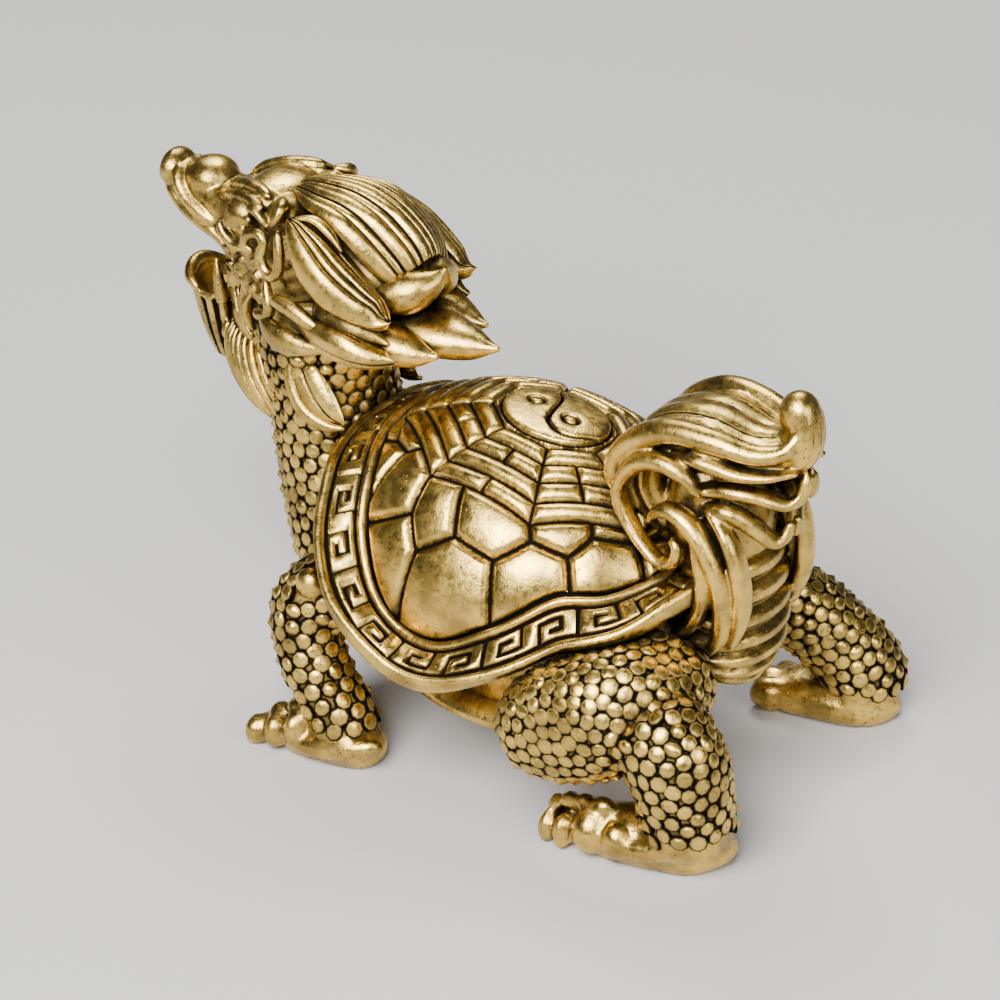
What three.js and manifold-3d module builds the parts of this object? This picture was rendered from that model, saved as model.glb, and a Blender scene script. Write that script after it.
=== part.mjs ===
// Dragon turtle figure, one small brass casting. Millimetres, +Z up, the head towards -X.
import * as THREE from 'three';
import { mergeVertices } from 'three/addons/utils/BufferGeometryUtils.js';
import Module from 'manifold-3d';

const wasm = await Module();
wasm.setup();

// Driving sizes of the whole figure
const figureLength = 54.8;
const figureHeight = 37.8;
const figureWidth = 32.4;

// Driving sizes of the shell. The nose-up angle is in degrees.
const domeHalfLength = 15.6;
const domeHalfWidth = 12.1;
const domeRise = 12.7;
const domeNoseUp = 8;
const rimBandWidth = 4;
const rimThickness = 1.3;
const railWidth = 0.9;
const railHeight = 0.5;
const plateLift = 0.5;
const scuteLift = 0.42;
const barGrooveWidth = 0.38;
const scuteGrooveWidth = 0.5;

// The pose is laid out on a grid with this many steps to the figure's length, width and height
const lengthSteps = 54.8;
const heightSteps = 37.8;
const widthSteps = 32.4;
const stepX = figureLength / lengthSteps;
const stepY = figureWidth / widthSteps;
const stepZ = figureHeight / heightSteps;
const stepThick = (stepX + stepY + stepZ) / 3;

// How finely rounded forms are faceted
const shellColumns = 32;
const limbSides = 8;

function at(x, y, z) {
  return new THREE.Vector3(x * stepX, y * stepY, z * stepZ);
}

// A closed skin through rings of points with a point at either end
function closedSkin(rings, firstTip, lastTip) {
  const sides = rings[0].length;
  const points = [firstTip, ...rings.flat(), lastTip];
  const indices = [];
  const lastIndex = points.length - 1;
  for (let k = 0; k < sides; k += 1) {
    const next = (k + 1) % sides;
    indices.push(0, 1 + next, 1 + k);
    for (let r = 0; r < rings.length - 1; r += 1) {
      const here = 1 + r * sides;
      const there = here + sides;
      indices.push(here + k, here + next, there + next);
      indices.push(here + k, there + next, there + k);
    }
    const end = 1 + (rings.length - 1) * sides;
    indices.push(lastIndex, end + k, end + next);
  }
  const geometry = new THREE.BufferGeometry();
  const flat = points.flatMap((point) => point.toArray());
  geometry.setAttribute('position', new THREE.Float32BufferAttribute(flat, 3));
  geometry.setIndex(indices);
  return geometry;
}

// A closed solid for joining and cutting, always with its faces outward
function toSolid(source) {
  const bare = source.clone();
  bare.deleteAttribute('normal');
  bare.deleteAttribute('uv');
  const merged = mergeVertices(bare, 1e-5);
  const position = merged.getAttribute('position');
  const index = Uint32Array.from(merged.getIndex().array);
  const corner = [0, 1, 2].map(() => new THREE.Vector3());
  let volume = 0;
  for (let i = 0; i < index.length; i += 3) {
    corner.forEach((point, j) => point.fromBufferAttribute(position, index[i + j]));
    volume += corner[0].dot(corner[1].clone().cross(corner[2]));
  }
  if (volume < 0) {
    for (let i = 0; i < index.length; i += 3) {
      [index[i + 1], index[i + 2]] = [index[i + 2], index[i + 1]];
    }
  }
  const mesh = new wasm.Mesh({
    numProp: 3,
    vertProperties: Float32Array.from(position.array),
    triVerts: index,
  });
  return new wasm.Manifold(mesh);
}

// A rounded form along a smooth line. Each station is x, y, z, half-width and half-depth;
// the width lies along the side direction. Ends can be blunt, and the skin can carry
// lengthwise grooves, cut into every second facet edge, or ripples across.
function form(stations, options = {}) {
  const {
    rings = 8, sides = limbSides, side = [0, 1, 0], blunt = [0, 0], cut = 0, ripples = 0,
    rippleCut = 0,
  } = options;
  const path = new THREE.CatmullRomCurve3(
    stations.map(([x, y, z]) => at(x, y, z)),
    false,
    'catmullrom',
    0.5,
  );
  const girth = new THREE.SplineCurve(
    stations.map(([, , , w, d]) => new THREE.Vector2(w, d).multiplyScalar(stepThick)),
  );
  const sideWay = new THREE.Vector3(...side).normalize();
  const skin = [];
  for (let i = 1; i <= rings; i += 1) {
    const even = i / (rings + 1);
    const eased = (1 - Math.cos(Math.PI * even)) / 2;
    const t = ripples > 0 ? even : even + (eased - even) * (blunt[0] + blunt[1] > 0 ? 0.6 : 0.2);
    const centre = path.getPoint(t);
    const along = path.getTangent(t);
    const size = girth.getPoint(t);
    const toEnds = [t, 1 - t];
    let swell = 1;
    blunt.forEach((reach, end) => {
      if (reach > 0 && toEnds[end] < reach) {
        swell *= Math.sqrt(1 - (1 - toEnds[end] / reach) ** 2);
      }
    });
    swell *= 1 - rippleCut * (0.5 + 0.5 * Math.cos(2 * Math.PI * ripples * t));
    const wide = sideWay.clone().addScaledVector(along, -sideWay.dot(along)).normalize();
    const deep = wide.clone().cross(along).normalize();
    const ring = [];
    for (let k = 0; k < sides; k += 1) {
      const turn = (2 * Math.PI * k) / sides;
      const reach = Math.max(swell, 0.05) * (1 - cut * (k % 2));
      ring.push(centre.clone()
        .addScaledVector(wide, Math.cos(turn) * size.x * reach)
        .addScaledVector(deep, Math.sin(turn) * size.y * reach));
    }
    skin.push(ring);
  }
  return closedSkin(skin, path.getPoint(0), path.getPoint(1));
}

// The same form on the left (-1) or the right (+1) of the body
function onSide(which, stations, options = {}) {
  const placed = stations.map(([x, y, z, w, d]) => [x, y * which, z, w, d]);
  const [sx, sy, sz] = options.side ?? [0, 1, 0];
  return form(placed, { ...options, side: [sx, sy * which, sz] });
}

function ball(x, y, z, rx, ry, rz, sides = 10, rings = 6) {
  const geometry = new THREE.SphereGeometry(1, sides, rings);
  geometry.scale(rx * stepThick, ry * stepThick, rz * stepThick);
  const centre = at(x, y, z);
  geometry.translate(centre.x, centre.y, centre.z);
  return geometry;
}

// The dome is part of a stretched ball tipped nose-up. The turn runs from the tail (0)
// by the left flank (90) to the neck (180); the slant runs down from the top.
const domeMiddle = at(-3.6, 0, 12);
const tip = new THREE.Matrix4().makeRotationY(THREE.MathUtils.degToRad(domeNoseUp));

function onDome(turn, slant, lift = 0) {
  const a = THREE.MathUtils.degToRad(turn);
  const b = THREE.MathUtils.degToRad(slant);
  const unit = new THREE.Vector3(Math.sin(b) * Math.cos(a), -Math.sin(b) * Math.sin(a), Math.cos(b));
  const halfSizes = new THREE.Vector3(domeHalfLength, domeHalfWidth, domeRise);
  const outward = unit.clone().divide(halfSizes).normalize();
  return unit.multiply(halfSizes).addScaledVector(outward, lift).applyMatrix4(tip).add(domeMiddle);
}

// A value around the shell, given at even turns from tail to neck, the same on both sides
function aroundShell(values, turn) {
  const folded = Math.abs(((turn + 540) % 360) - 180);
  const spot = (folded * (values.length - 1)) / 180;
  const low = Math.min(Math.floor(spot), values.length - 2);
  const share = spot - low;
  const before = values[Math.abs(low - 1)];
  const after = values[low + 2 < values.length ? low + 2 : 2 * values.length - low - 4];
  const [from, to] = [values[low], values[low + 1]];
  const rise = (to - before) / 2;
  const fall = (after - from) / 2;
  const s2 = share * share;
  const s3 = s2 * share;
  return (2 * s3 - 3 * s2 + 1) * from + (s3 - 2 * s2 + share) * rise
    + (3 * s2 - 2 * s3) * to + (s3 - s2) * fall;
}

// The rim waves: where its inner edge lies on the dome, and how far its band slopes down
const railSlants = [54, 54.5, 58, 61.5, 63.5, 77, 90, 88.5, 72.5, 57.5, 50, 44.5, 41];
const bandTilts = [-6, -6, -4, 22, 46, 44, 24, 8, 16, 14, 18, 22, 24];
const rimAt = (turn) => onDome(turn, aroundShell(railSlants, turn));

function bandPoint(turn, outwardBy, lift) {
  const inner = rimAt(turn);
  const run = rimAt(turn + 3).sub(rimAt(turn - 3));
  const outward = new THREE.Vector3(-run.y, run.x, 0).normalize();
  if (outward.dot(inner.clone().sub(domeMiddle)) < 0) outward.negate();
  const tilt = THREE.MathUtils.degToRad(aroundShell(bandTilts, turn));
  const down = outward.clone().multiplyScalar(Math.cos(tilt));
  down.z = -Math.sin(tilt);
  const upward = outward.clone().multiplyScalar(Math.sin(tilt));
  upward.z = Math.cos(tilt);
  return inner.addScaledVector(down, outwardBy).addScaledVector(upward, lift);
}

// The body under the rim is oval. Each row is its half-length, half-width and height.
const bodyMiddle = -1.6;
const bellyHeight = 4.7;
const wallRow = [12.6, 9.8, 8];
const bellyRows = [[12.4, 8.8, 6.6], [13.6, 10, 5.6], [13.4, 9.9, 5], [10, 7.4, bellyHeight]];
const tailwardRise = 3.6;
const neckwardRise = 2;

function bodyPoint(turn, [halfLength, halfWidth, z]) {
  const a = THREE.MathUtils.degToRad(turn);
  const x = bodyMiddle + halfLength * Math.cos(a);
  return new THREE.Vector3(x, -halfWidth * Math.sin(a), z);
}

// The shell with its two rails, the rim's edge and the belly
function makeShell() {
  const domeShares = [0.5, 0.76, 0.98];
  const outer = rimBandWidth;
  const bandProfile = [
    [railWidth * 0.1, -railHeight * 0.5], [railWidth * 0.3, railHeight * 0.8],
    [railWidth, railHeight * 0.8], [railWidth * 1.45, 0], [outer - railWidth * 1.45, 0],
    [outer - railWidth * 0.9, railHeight], [outer - railWidth * 0.15, railHeight],
    [outer, -rimThickness * 0.7], [outer * 0.6, -rimThickness * 1.1],
  ];
  const turns = Array.from({ length: shellColumns }, (unused, k) => (360 * k) / shellColumns);
  const ringOf = (place) => turns.map(place);
  const rings = domeShares.map((share) => (
    ringOf((turn) => onDome(turn, share * aroundShell(railSlants, turn)))
  ));
  bandProfile.forEach(([by, lift]) => rings.push(ringOf((turn) => bandPoint(turn, by, lift))));
  rings.push(ringOf((turn) => {
    const wall = bodyPoint(turn, wallRow);
    const under = bandPoint(turn, outer * 0.4, -rimThickness * 1.3);
    wall.z = Math.max(wall.z, under.z - rimThickness * 0.9);
    return wall;
  }));
  bellyRows.forEach(([halfLength, halfWidth, z]) => rings.push(ringOf((turn) => {
    const lean = Math.cos(THREE.MathUtils.degToRad(turn));
    const rise = (lean > 0 ? tailwardRise : neckwardRise) * lean ** 2;
    return bodyPoint(turn, [halfLength, halfWidth, z + rise]);
  })));
  return closedSkin(rings, onDome(0, 0), new THREE.Vector3(bodyMiddle, 0, bellyHeight));
}

// The top plate is eight-sided: a round boss, a plain row, then three rows of bars, with
// grooves between. Rows are given as shares of the dome's radius seen from above.
const bossShare = 0.256;
const octagonRows = [0.3, 0.405, 0.506, 0.606, 0.697];
const grooveShare = barGrooveWidth / (domeHalfLength + domeHalfWidth);
const grooveFloor = 0.1;
const firstCorner = 25.5;

// A point beside an edge of the plate: the share along it, then a number of half-grooves
function octagonPoint(eighth, along, halfGrooves, share, lift) {
  const corner = (n) => {
    const a = THREE.MathUtils.degToRad(firstCorner + 45 * n);
    return new THREE.Vector2(Math.cos(a), Math.sin(a)).multiplyScalar(share);
  };
  const edge = corner(eighth + 1).sub(corner(eighth));
  const spot = along * edge.length() + halfGrooves * grooveShare;
  const flat = corner(eighth).addScaledVector(edge.normalize(), spot);
  const slant = THREE.MathUtils.radToDeg(Math.asin(flat.length()));
  const turn = THREE.MathUtils.radToDeg(Math.atan2(flat.y, flat.x));
  return onDome(turn, slant, lift);
}

function makeTopPlate() {
  const steps = [[octagonRows[0] - grooveShare / 2, grooveFloor]];
  octagonRows.slice(0, -1).forEach((row, n) => {
    const end = octagonRows[n + 1];
    steps.push([row + grooveShare, plateLift], [end - grooveShare, plateLift]);
    if (n < octagonRows.length - 2) steps.push([end, grooveFloor]);
  });
  steps.push([octagonRows.at(-1), -plateLift]);
  const stops = [[0, 0], [0, 1], [0.5, 0], [1, -1]];
  const columns = [0, 1, 2, 3, 4, 5, 6, 7].flatMap((eighth) => (
    stops.map(([along, halfGrooves]) => [eighth, along, halfGrooves])
  ));
  const disc = (share, lift) => columns.map(([eighth, along, halfGrooves]) => {
    const aside = THREE.MathUtils.radToDeg((halfGrooves * grooveShare) / share);
    const turn = firstCorner + 45 * (eighth + along) + aside;
    return onDome(turn, THREE.MathUtils.radToDeg(Math.asin(share)), lift);
  });
  const rings = [disc(bossShare, plateLift), disc(bossShare + grooveShare, grooveFloor)];
  steps.forEach(([share, lift], n) => {
    rings.push(columns.map(([eighth, along, halfGrooves]) => {
      const inGroove = along === 0 && halfGrooves === 0 && n > 0 && n < steps.length - 1;
      return octagonPoint(eighth, along, halfGrooves, share, inGroove ? grooveFloor : lift);
    }));
  });
  const under = -3 * plateLift;
  rings.push(columns.map(([eighth, along, halfGrooves]) => (
    octagonPoint(eighth, along, halfGrooves, octagonRows[1], under)
  )));
  return closedSkin(rings, onDome(0, 0, plateLift), onDome(0, 0, under - plateLift));
}

// A broken bar is cut across its middle. One row of flags per side, from the inner row out.
const brokenBars = [
  [1, 1, 0], [1, 0, 1], [1, 0, 0], [0, 0, 1], [1, 0, 0], [0, 1, 1], [1, 1, 1], [0, 0, 0],
];

function makeBarCut(eighth, row) {
  const middleOfBar = (share) => octagonPoint(eighth, 0.5, 0, share, plateLift);
  const inner = middleOfBar(octagonRows[row + 1] + grooveShare / 2);
  const outer = middleOfBar(octagonRows[row + 2] - grooveShare / 2);
  const middle = inner.clone().lerp(outer, 0.5);
  const alongRow = outer.clone().sub(inner).normalize();
  const up = new THREE.Vector3(0, 0, 1).addScaledVector(alongRow, -alongRow.z).normalize();
  const block = new THREE.BoxGeometry(barGrooveWidth, inner.distanceTo(outer), 1.4 * plateLift);
  block.applyMatrix4(new THREE.Matrix4().makeBasis(alongRow.clone().cross(up), alongRow, up));
  block.translate(middle.x, middle.y, middle.z);
  return block;
}

// Shell scutes between the plate and the inner rail: corners as turn and slant
const scuteJoints = {
  a: [134, 44], b: [113.5, 46], c: [101, 43], d: [69, 47], e: [46, 42], f: [30, 42],
  g: [112, 58], h: [94, 56], i: [79.5, 58], j: [70, 50], k: [57, 51.5], l: [46, 45.5],
  m: [30, 46], n: [124, 63], o: [103, 67], p: [104, 83], q: [90, 86], r: [77, 73],
  s: [66, 63], t: [55.5, 60], u: [42, 58], v: [31, 55], w: [133, 56], x: [157, 44],
  y: [146, 50], z: [13, 41], za: [0, 40], zb: [15, 51], zc: [0, 51],
};
const scutes = [
  'a b g n w', 'b c h o g', 'c d j i h', 'd e l k j', 'e f m l', 'g o p n', 'o h i r q p',
  'i j k t s r', 'k l m v u t', 'a w y', 'a y x', 'f z zb v m', 'z za zc zb',
];

function makeScute(names, which) {
  const corners = names.split(' ').map((name) => scuteJoints[name]);
  const mean = (column) => (
    corners.reduce((sum, corner) => sum + corner[column], 0) / corners.length
  );
  const middleOf = (lift) => onDome(mean(0) * which, mean(1), lift);
  const ring = (lift, inset) => corners.map(([turn, slant]) => {
    const point = onDome(turn * which, slant, lift);
    return point.addScaledVector(middleOf(lift).sub(point).normalize(), inset);
  });
  const gap = scuteGrooveWidth / 2;
  const rings = [ring(scuteLift, gap * 1.5), ring(-scuteLift, gap)];
  return closedSkin(rings, middleOf(scuteLift * 1.15), middleOf(-2.4 * scuteLift));
}

const solids = [];
const add = (...geometries) => geometries.forEach((geometry) => solids.push(toSolid(geometry)));

// The head: skull, snout with its two bumps, upper lip, and the hollow lower jaw
function makeHead() {
  add(form([
    [-18, 0, 29.5, 2.5, 3], [-21.5, 0, 30.6, 4.3, 4.6], [-24.2, 0, 32, 4.3, 3.8],
    [-26.8, 0, 33.2, 3.1, 2.6], [-29.4, 0, 33.5, 2.3, 2.1], [-31.8, 0, 34.1, 2.0, 1.8],
    [-34.4, 0, 34.9, 1.1, 1.0],
  ], { rings: 7, sides: 10, blunt: [0.1, 0.12] }));
  add(ball(-33.8, 0, 35.3, 1.4, 1.8, 1.4, 8, 5), ball(-30.7, 0, 35.3, 2.0, 2.0, 1.5, 8, 5));
  add(form([
    [-29.9, 0, 28.0, 2.5, 2.7], [-29.9, 0, 26.2, 2.6, 2.9], [-29.8, 0, 24.2, 2.2, 2.5],
    [-29.6, 0, 21.4, 1.3, 1.5],
  ], { rings: 5, sides: 10, blunt: [0.08, 0.25] }));
  add(form([
    [-28.0, 0, 27.4, 2.6, 2.4], [-25.5, 0, 25.6, 3.4, 3.3], [-23.8, 0, 22.6, 3.4, 3.4],
    [-22.0, 0, 19.4, 3.2, 3.2],
  ], { rings: 4, sides: 10, blunt: [0.1, 0.1] }));
  [-1, 1].forEach((which) => {
    add(onSide(which, [
      [-34.5, 0.7, 34.1, 0.45, 0.5], [-32.7, 1.7, 32.9, 0.6, 0.6], [-30.8, 2.2, 31.8, 0.6, 0.65],
      [-28.8, 2.7, 31.3, 0.6, 0.6], [-26.0, 3.5, 31.0, 0.4, 0.4],
    ], { rings: 4, sides: 5, blunt: [0.1, 0.1] }));
    add(ball(-25.7, 3.2 * which, 34.8, 1.4, 1.2, 1.3, 8, 5));
    add(onSide(which, [
      [-28.8, 1.5, 35.2, 0.4, 0.4], [-26.8, 2.4, 36.1, 0.8, 0.6], [-25.0, 2.9, 36.5, 0.8, 0.6],
      [-23.6, 3.6, 36.2, 0.3, 0.3],
    ], { rings: 3, sides: 5, blunt: [0.1, 0.1] }));
    add(onSide(which, [
      [-23.4, 4.9, 33.6, 0.3, 0.3], [-24.0, 5.0, 33.2, 0.33, 0.33], [-24.5, 5.0, 33.8, 0.35, 0.35],
      [-24.0, 5.0, 34.5, 0.37, 0.37], [-23.1, 5.1, 34.2, 0.4, 0.4], [-22.7, 5.2, 33.0, 0.42, 0.42],
      [-22.0, 5.3, 32.1, 0.42, 0.42], [-21.1, 5.5, 32.5, 0.4, 0.4], [-21.0, 5.5, 33.9, 0.38, 0.38],
      [-21.3, 5.3, 35.4, 0.3, 0.3],
    ], { rings: 11, sides: 4, blunt: [0.04, 0.06] }));
    add(onSide(which, [
      [-22.8, 4.6, 32.2, 0.6, 0.4], [-21.6, 5.6, 30.2, 0.8, 0.6], [-19.6, 6.0, 29.6, 0.9, 0.7],
      [-17.8, 5.8, 29.2, 0.3, 0.3],
    ], { rings: 3, sides: 5, side: [0.3, 0, 1], blunt: [0.15, 0.05] }));
    add(onSide(which, [
      [-23.6, 4.6, 29.0, 0.6, 0.5], [-21.4, 6.0, 28.9, 1.2, 0.8], [-19.0, 6.5, 28.3, 1.3, 0.9],
      [-17.2, 6.4, 28.0, 0.6, 0.5], [-15.9, 6.3, 28.6, 0.15, 0.15],
    ], { rings: 4, sides: 5, side: [0.3, 0, 1], blunt: [0.1, 0] }));
    add(onSide(which, [
      [-22.2, 3.4, 26.6, 0.7, 0.6], [-21.2, 4.6, 24.6, 1.1, 0.7], [-20.0, 5.0, 22.8, 1.1, 0.7],
      [-18.2, 5.0, 21.6, 0.8, 0.6], [-15.9, 5.0, 22.0, 0.15, 0.15],
    ], { rings: 5, sides: 5, side: [1, 0, 0.4], blunt: [0.1, 0] }));
    add(onSide(which, [
      [-28.4, 2.1, 26.4, 0.5, 0.5], [-28.8, 2.3, 28.6, 0.4, 0.4], [-29.1, 2.2, 30.4, 0.1, 0.1],
    ], { rings: 2, sides: 4, side: [1, 0, 0] }));
    add(onSide(which, [
      [-24.2, 3.0, 31.2, 1.0, 1.0], [-26.2, 2.8, 30.0, 1.1, 1.3], [-28.2, 2.2, 28.2, 0.9, 1.2],
    ], { rings: 2, sides: 6, blunt: [0.15, 0.15] }));
    add(onSide(which, [
      [-24.9, 2.6, 35.8, 0.8, 0.5], [-23.8, 3.4, 36.2, 1.2, 0.7], [-22.6, 4.1, 36.0, 0.8, 0.7],
      [-21.6, 4.6, 35.6, 0.3, 0.3],
    ], { rings: 3, sides: 6, blunt: [0.1, 0.1] }));
  });
  for (let n = -2; n <= 2; n += 1) {
    const swing = THREE.MathUtils.degToRad(32 * n);
    const lie = (x, z, reach, size) => (
      [x - reach * Math.cos(swing), reach * Math.sin(swing), z, size, size]
    );
    add(form([
      lie(-25.9, 25.2, 3.3, 0.45), lie(-24.6, 22.8, 3.5, 0.55), lie(-22.9, 20.4, 3.7, 0.55),
      lie(-21.3, 18.2, 3.7, 0.3),
    ], { rings: 3, sides: 4, blunt: [0.1, 0.1] }));
  }
}

// The mane: petal-like locks in two layers, each cut with strands
function makeMane() {
  add(ball(-17.6, 0, 31.4, 5.4, 5.0, 4.2, 8, 6));
  add(form([
    [-23.6, 0, 35.2, 1.0, 0.7], [-21.4, 0, 36.4, 2.8, 1.1], [-18.4, 0, 36.4, 3.9, 1.4],
    [-15.6, 0, 35.2, 3.9, 1.5], [-13.6, 0, 33.2, 2.8, 1.5], [-12.4, 0, 31.2, 1.4, 1.2],
  ], { rings: 6, sides: 16, cut: 0.09, blunt: [0.05, 0.1] }));
  add(form([
    [-15.4, 0, 31.4, 1.9, 1.7], [-13.2, 0, 31.6, 1.6, 1.4], [-11.1, 0, 33.1, 0.15, 0.15],
  ], { rings: 3, sides: 8, blunt: [0.1, 0] }));
  [-1, 1].forEach((which) => {
    add(onSide(which, [
      [-23.4, 2.4, 35.2, 0.7, 0.6], [-21.2, 4.4, 35.2, 2.0, 1.1], [-18.2, 5.6, 33.8, 2.6, 1.3],
      [-15.2, 6.0, 32.0, 2.4, 1.3], [-13.0, 5.8, 30.6, 1.4, 1.0], [-11.6, 5.4, 30.6, 0.3, 0.3],
    ], { rings: 6, sides: 12, side: [0.25, 0.55, -0.8], cut: 0.1, blunt: [0.05, 0.03] }));
    const shorter = which > 0 ? 2 : 0;
    add(onSide(which, [
      [-18.6, 5.0, 29.6, 1.2, 0.9], [-15.6 - shorter / 3, 5.8, 29.2, 1.6, 1.1],
      [-12.8 - shorter, 6.1, 28.6, 1.2, 0.9], [-11.0 - shorter, 6.0, 28.4, 0.3, 0.3],
    ], { rings: 4, sides: 6, side: [0, 0.5, -0.8], blunt: [0.05, 0.05] }));
    add(onSide(which, [
      [-17.0, 2.8, 28.2, 1.6, 1.0], [-13.8, 3.2, 28.0, 1.9, 1.1], [-11.4, 3.1, 27.8, 1.2, 0.8],
      [-9.8, 3.0, 28.3, 0.2, 0.2],
    ], { rings: 3, sides: 6, blunt: [0.05, 0] }));
  });
  add(form([
    [-15.4, 0, 28.6, 2.2, 1.2], [-11.6, 0, 28.4, 2.3, 1.2], [-8.8, 0, 28.2, 1.4, 0.9],
    [-6.6, 0, 28.2, 0.2, 0.2],
  ], { rings: 3, sides: 6, blunt: [0.05, 0] }));
}

// The tail: a ribbed root, a grooved plume with an upturned end, scrolls and side strands
function makeTail() {
  add(form([
    [12.2, 0, 9.4, 2.6, 2.4], [12.6, 0, 11.8, 4.5, 3.3], [12.6, 0, 15.2, 4.8, 3.4],
    [12.3, 0, 19.2, 4.2, 3.2],
  ], { rings: 11, sides: 10, ripples: 6, rippleCut: 0.17 }));
  add(form([
    [12.0, 0, 17.5, 3.6, 3.0], [11.4, 0, 21.5, 3.8, 3.5], [10.6, 0, 26.4, 3.2, 2.6],
  ], { rings: 3, sides: 8, blunt: [0.1, 0.1] }));
  add(form([
    [9.8, 0, 18.6, 2.6, 1.6], [6.6, 0, 22.6, 3.4, 2.0], [7.6, 0, 26.6, 3.9, 1.9],
    [11.2, 0, 27.9, 3.9, 1.9], [14.8, 0, 27.2, 3.2, 1.8], [17.4, 0, 27.8, 2.0, 1.7],
    [17.8, 0, 29.9, 1.4, 1.3], [16.8, 0, 31.5, 1.0, 0.9],
  ], { rings: 8, sides: 16, cut: 0.09, blunt: [0.05, 0.08] }));
  add(ball(17.4, 0, 30.0, 1.5, 1.5, 1.6, 8, 4));
  [-1, 1].forEach((which) => {
    add(onSide(which, [
      [7.6, 3.8, 20.6, 0.5, 0.6], [5.6, 3.9, 23.6, 0.9, 0.9], [6.3, 3.9, 26.4, 1.0, 0.9],
      [9.0, 3.8, 27.8, 1.0, 0.9], [12.6, 3.5, 27.6, 0.9, 0.9], [15.6, 2.8, 27.2, 0.8, 0.8],
      [18.0, 1.2, 28.0, 0.5, 0.6],
    ], { rings: 7, sides: 4, side: [0.3, 0, 1], blunt: [0.05, 0.05] }));
    add(onSide(which, [
      [12.4, 3.9, 22.9, 0.5, 0.6], [11.6, 4.3, 24.6, 0.75, 0.7], [9.7, 4.5, 26.2, 0.85, 0.8],
      [7.6, 4.5, 25.6, 0.9, 0.8], [6.7, 4.5, 23.6, 0.9, 0.8], [7.3, 4.6, 21.6, 0.85, 0.8],
      [8.6, 4.9, 19.9, 0.75, 0.8], [9.9, 5.1, 19.2, 0.7, 0.8], [10.9, 5.1, 20.2, 0.7, 0.8],
      [10.2, 5.0, 21.3, 0.6, 0.7],
    ], { rings: 10, sides: 4, side: [0, 0, 1], blunt: [0.04, 0.04] }));
    add(onSide(which, [
      [8.6, 4.6, 21.2, 0.4, 0.6], [9.4, 4.8, 22.7, 0.7, 0.8], [11.4, 4.9, 23.0, 0.9, 0.9],
      [13.4, 4.8, 21.4, 1.0, 0.9], [15.0, 4.4, 18.9, 1.0, 0.9], [15.3, 4.2, 16.4, 1.0, 0.9],
      [14.6, 4.2, 13.4, 0.8, 0.8], [13.2, 4.4, 11.6, 0.3, 0.4],
    ], { rings: 7, sides: 4, side: [0.7, 0, 0.7], blunt: [0.05, 0.05] }));
    add(onSide(which, [
      [12.2, 4.9, 20.8, 0.4, 0.5], [13.2, 5.0, 18.6, 0.8, 0.8], [13.1, 5.0, 16.0, 0.95, 0.9],
      [11.6, 5.2, 13.8, 0.8, 0.8], [9.8, 5.6, 12.4, 0.3, 0.4],
    ], { rings: 4, sides: 4, side: [0.7, 0, 0.7], blunt: [0.05, 0.05] }));
    add(onSide(which, [
      [10.8, 2.3, 23.8, 0.8, 0.8], [14.2, 2.6, 24.7, 0.8, 0.8], [17.0, 1.5, 24.0, 0.7, 0.7],
      [18.7, 0.4, 24.5, 0.65, 0.6], [19.4, 0, 26.1, 0.5, 0.5],
    ], { rings: 5, sides: 4, side: [0, 0, 1], blunt: [0.08, 0.1] }));
    add(onSide(which, [
      [11.6, 3.2, 22.6, 0.8, 0.8], [13.8, 3.0, 22.4, 1.1, 1.0], [15.8, 1.9, 21.5, 0.9, 0.8],
      [17.4, 0.6, 20.8, 0.6, 0.6], [18.2, 0, 22.8, 0.4, 0.4],
    ], { rings: 5, sides: 4, side: [0, 0, 1], blunt: [0.08, 0.1] }));
  });
}

// A leg is one limb or more, a foot and its toes
function makeLeg({ which, limbs, foot, toes }) {
  limbs.forEach((limb) => {
    add(onSide(which, limb, { rings: limb.length + 1, side: [0.3, 1, 0], blunt: [0.1, 0.12] }));
  });
  add(onSide(which, foot, { rings: 4, sides: 8, side: [0, 1, 0], blunt: [0.2, 0.15] }));
  toes.forEach(([x, y, z, length, turn]) => {
    const a = THREE.MathUtils.degToRad(turn);
    const [dx, dy] = [-Math.cos(a) * length, Math.sin(a) * length];
    add(onSide(which, [
      [x, y, z, 0.95, 1.3], [x + dx * 0.5, y + dy * 0.5, z, 1.05, 1.3],
      [x + dx, y + dy, z - 0.3, 0.9, 1.0],
    ], { rings: 2, sides: 6, blunt: [0.2, 0.5] }));
  });
}

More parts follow.
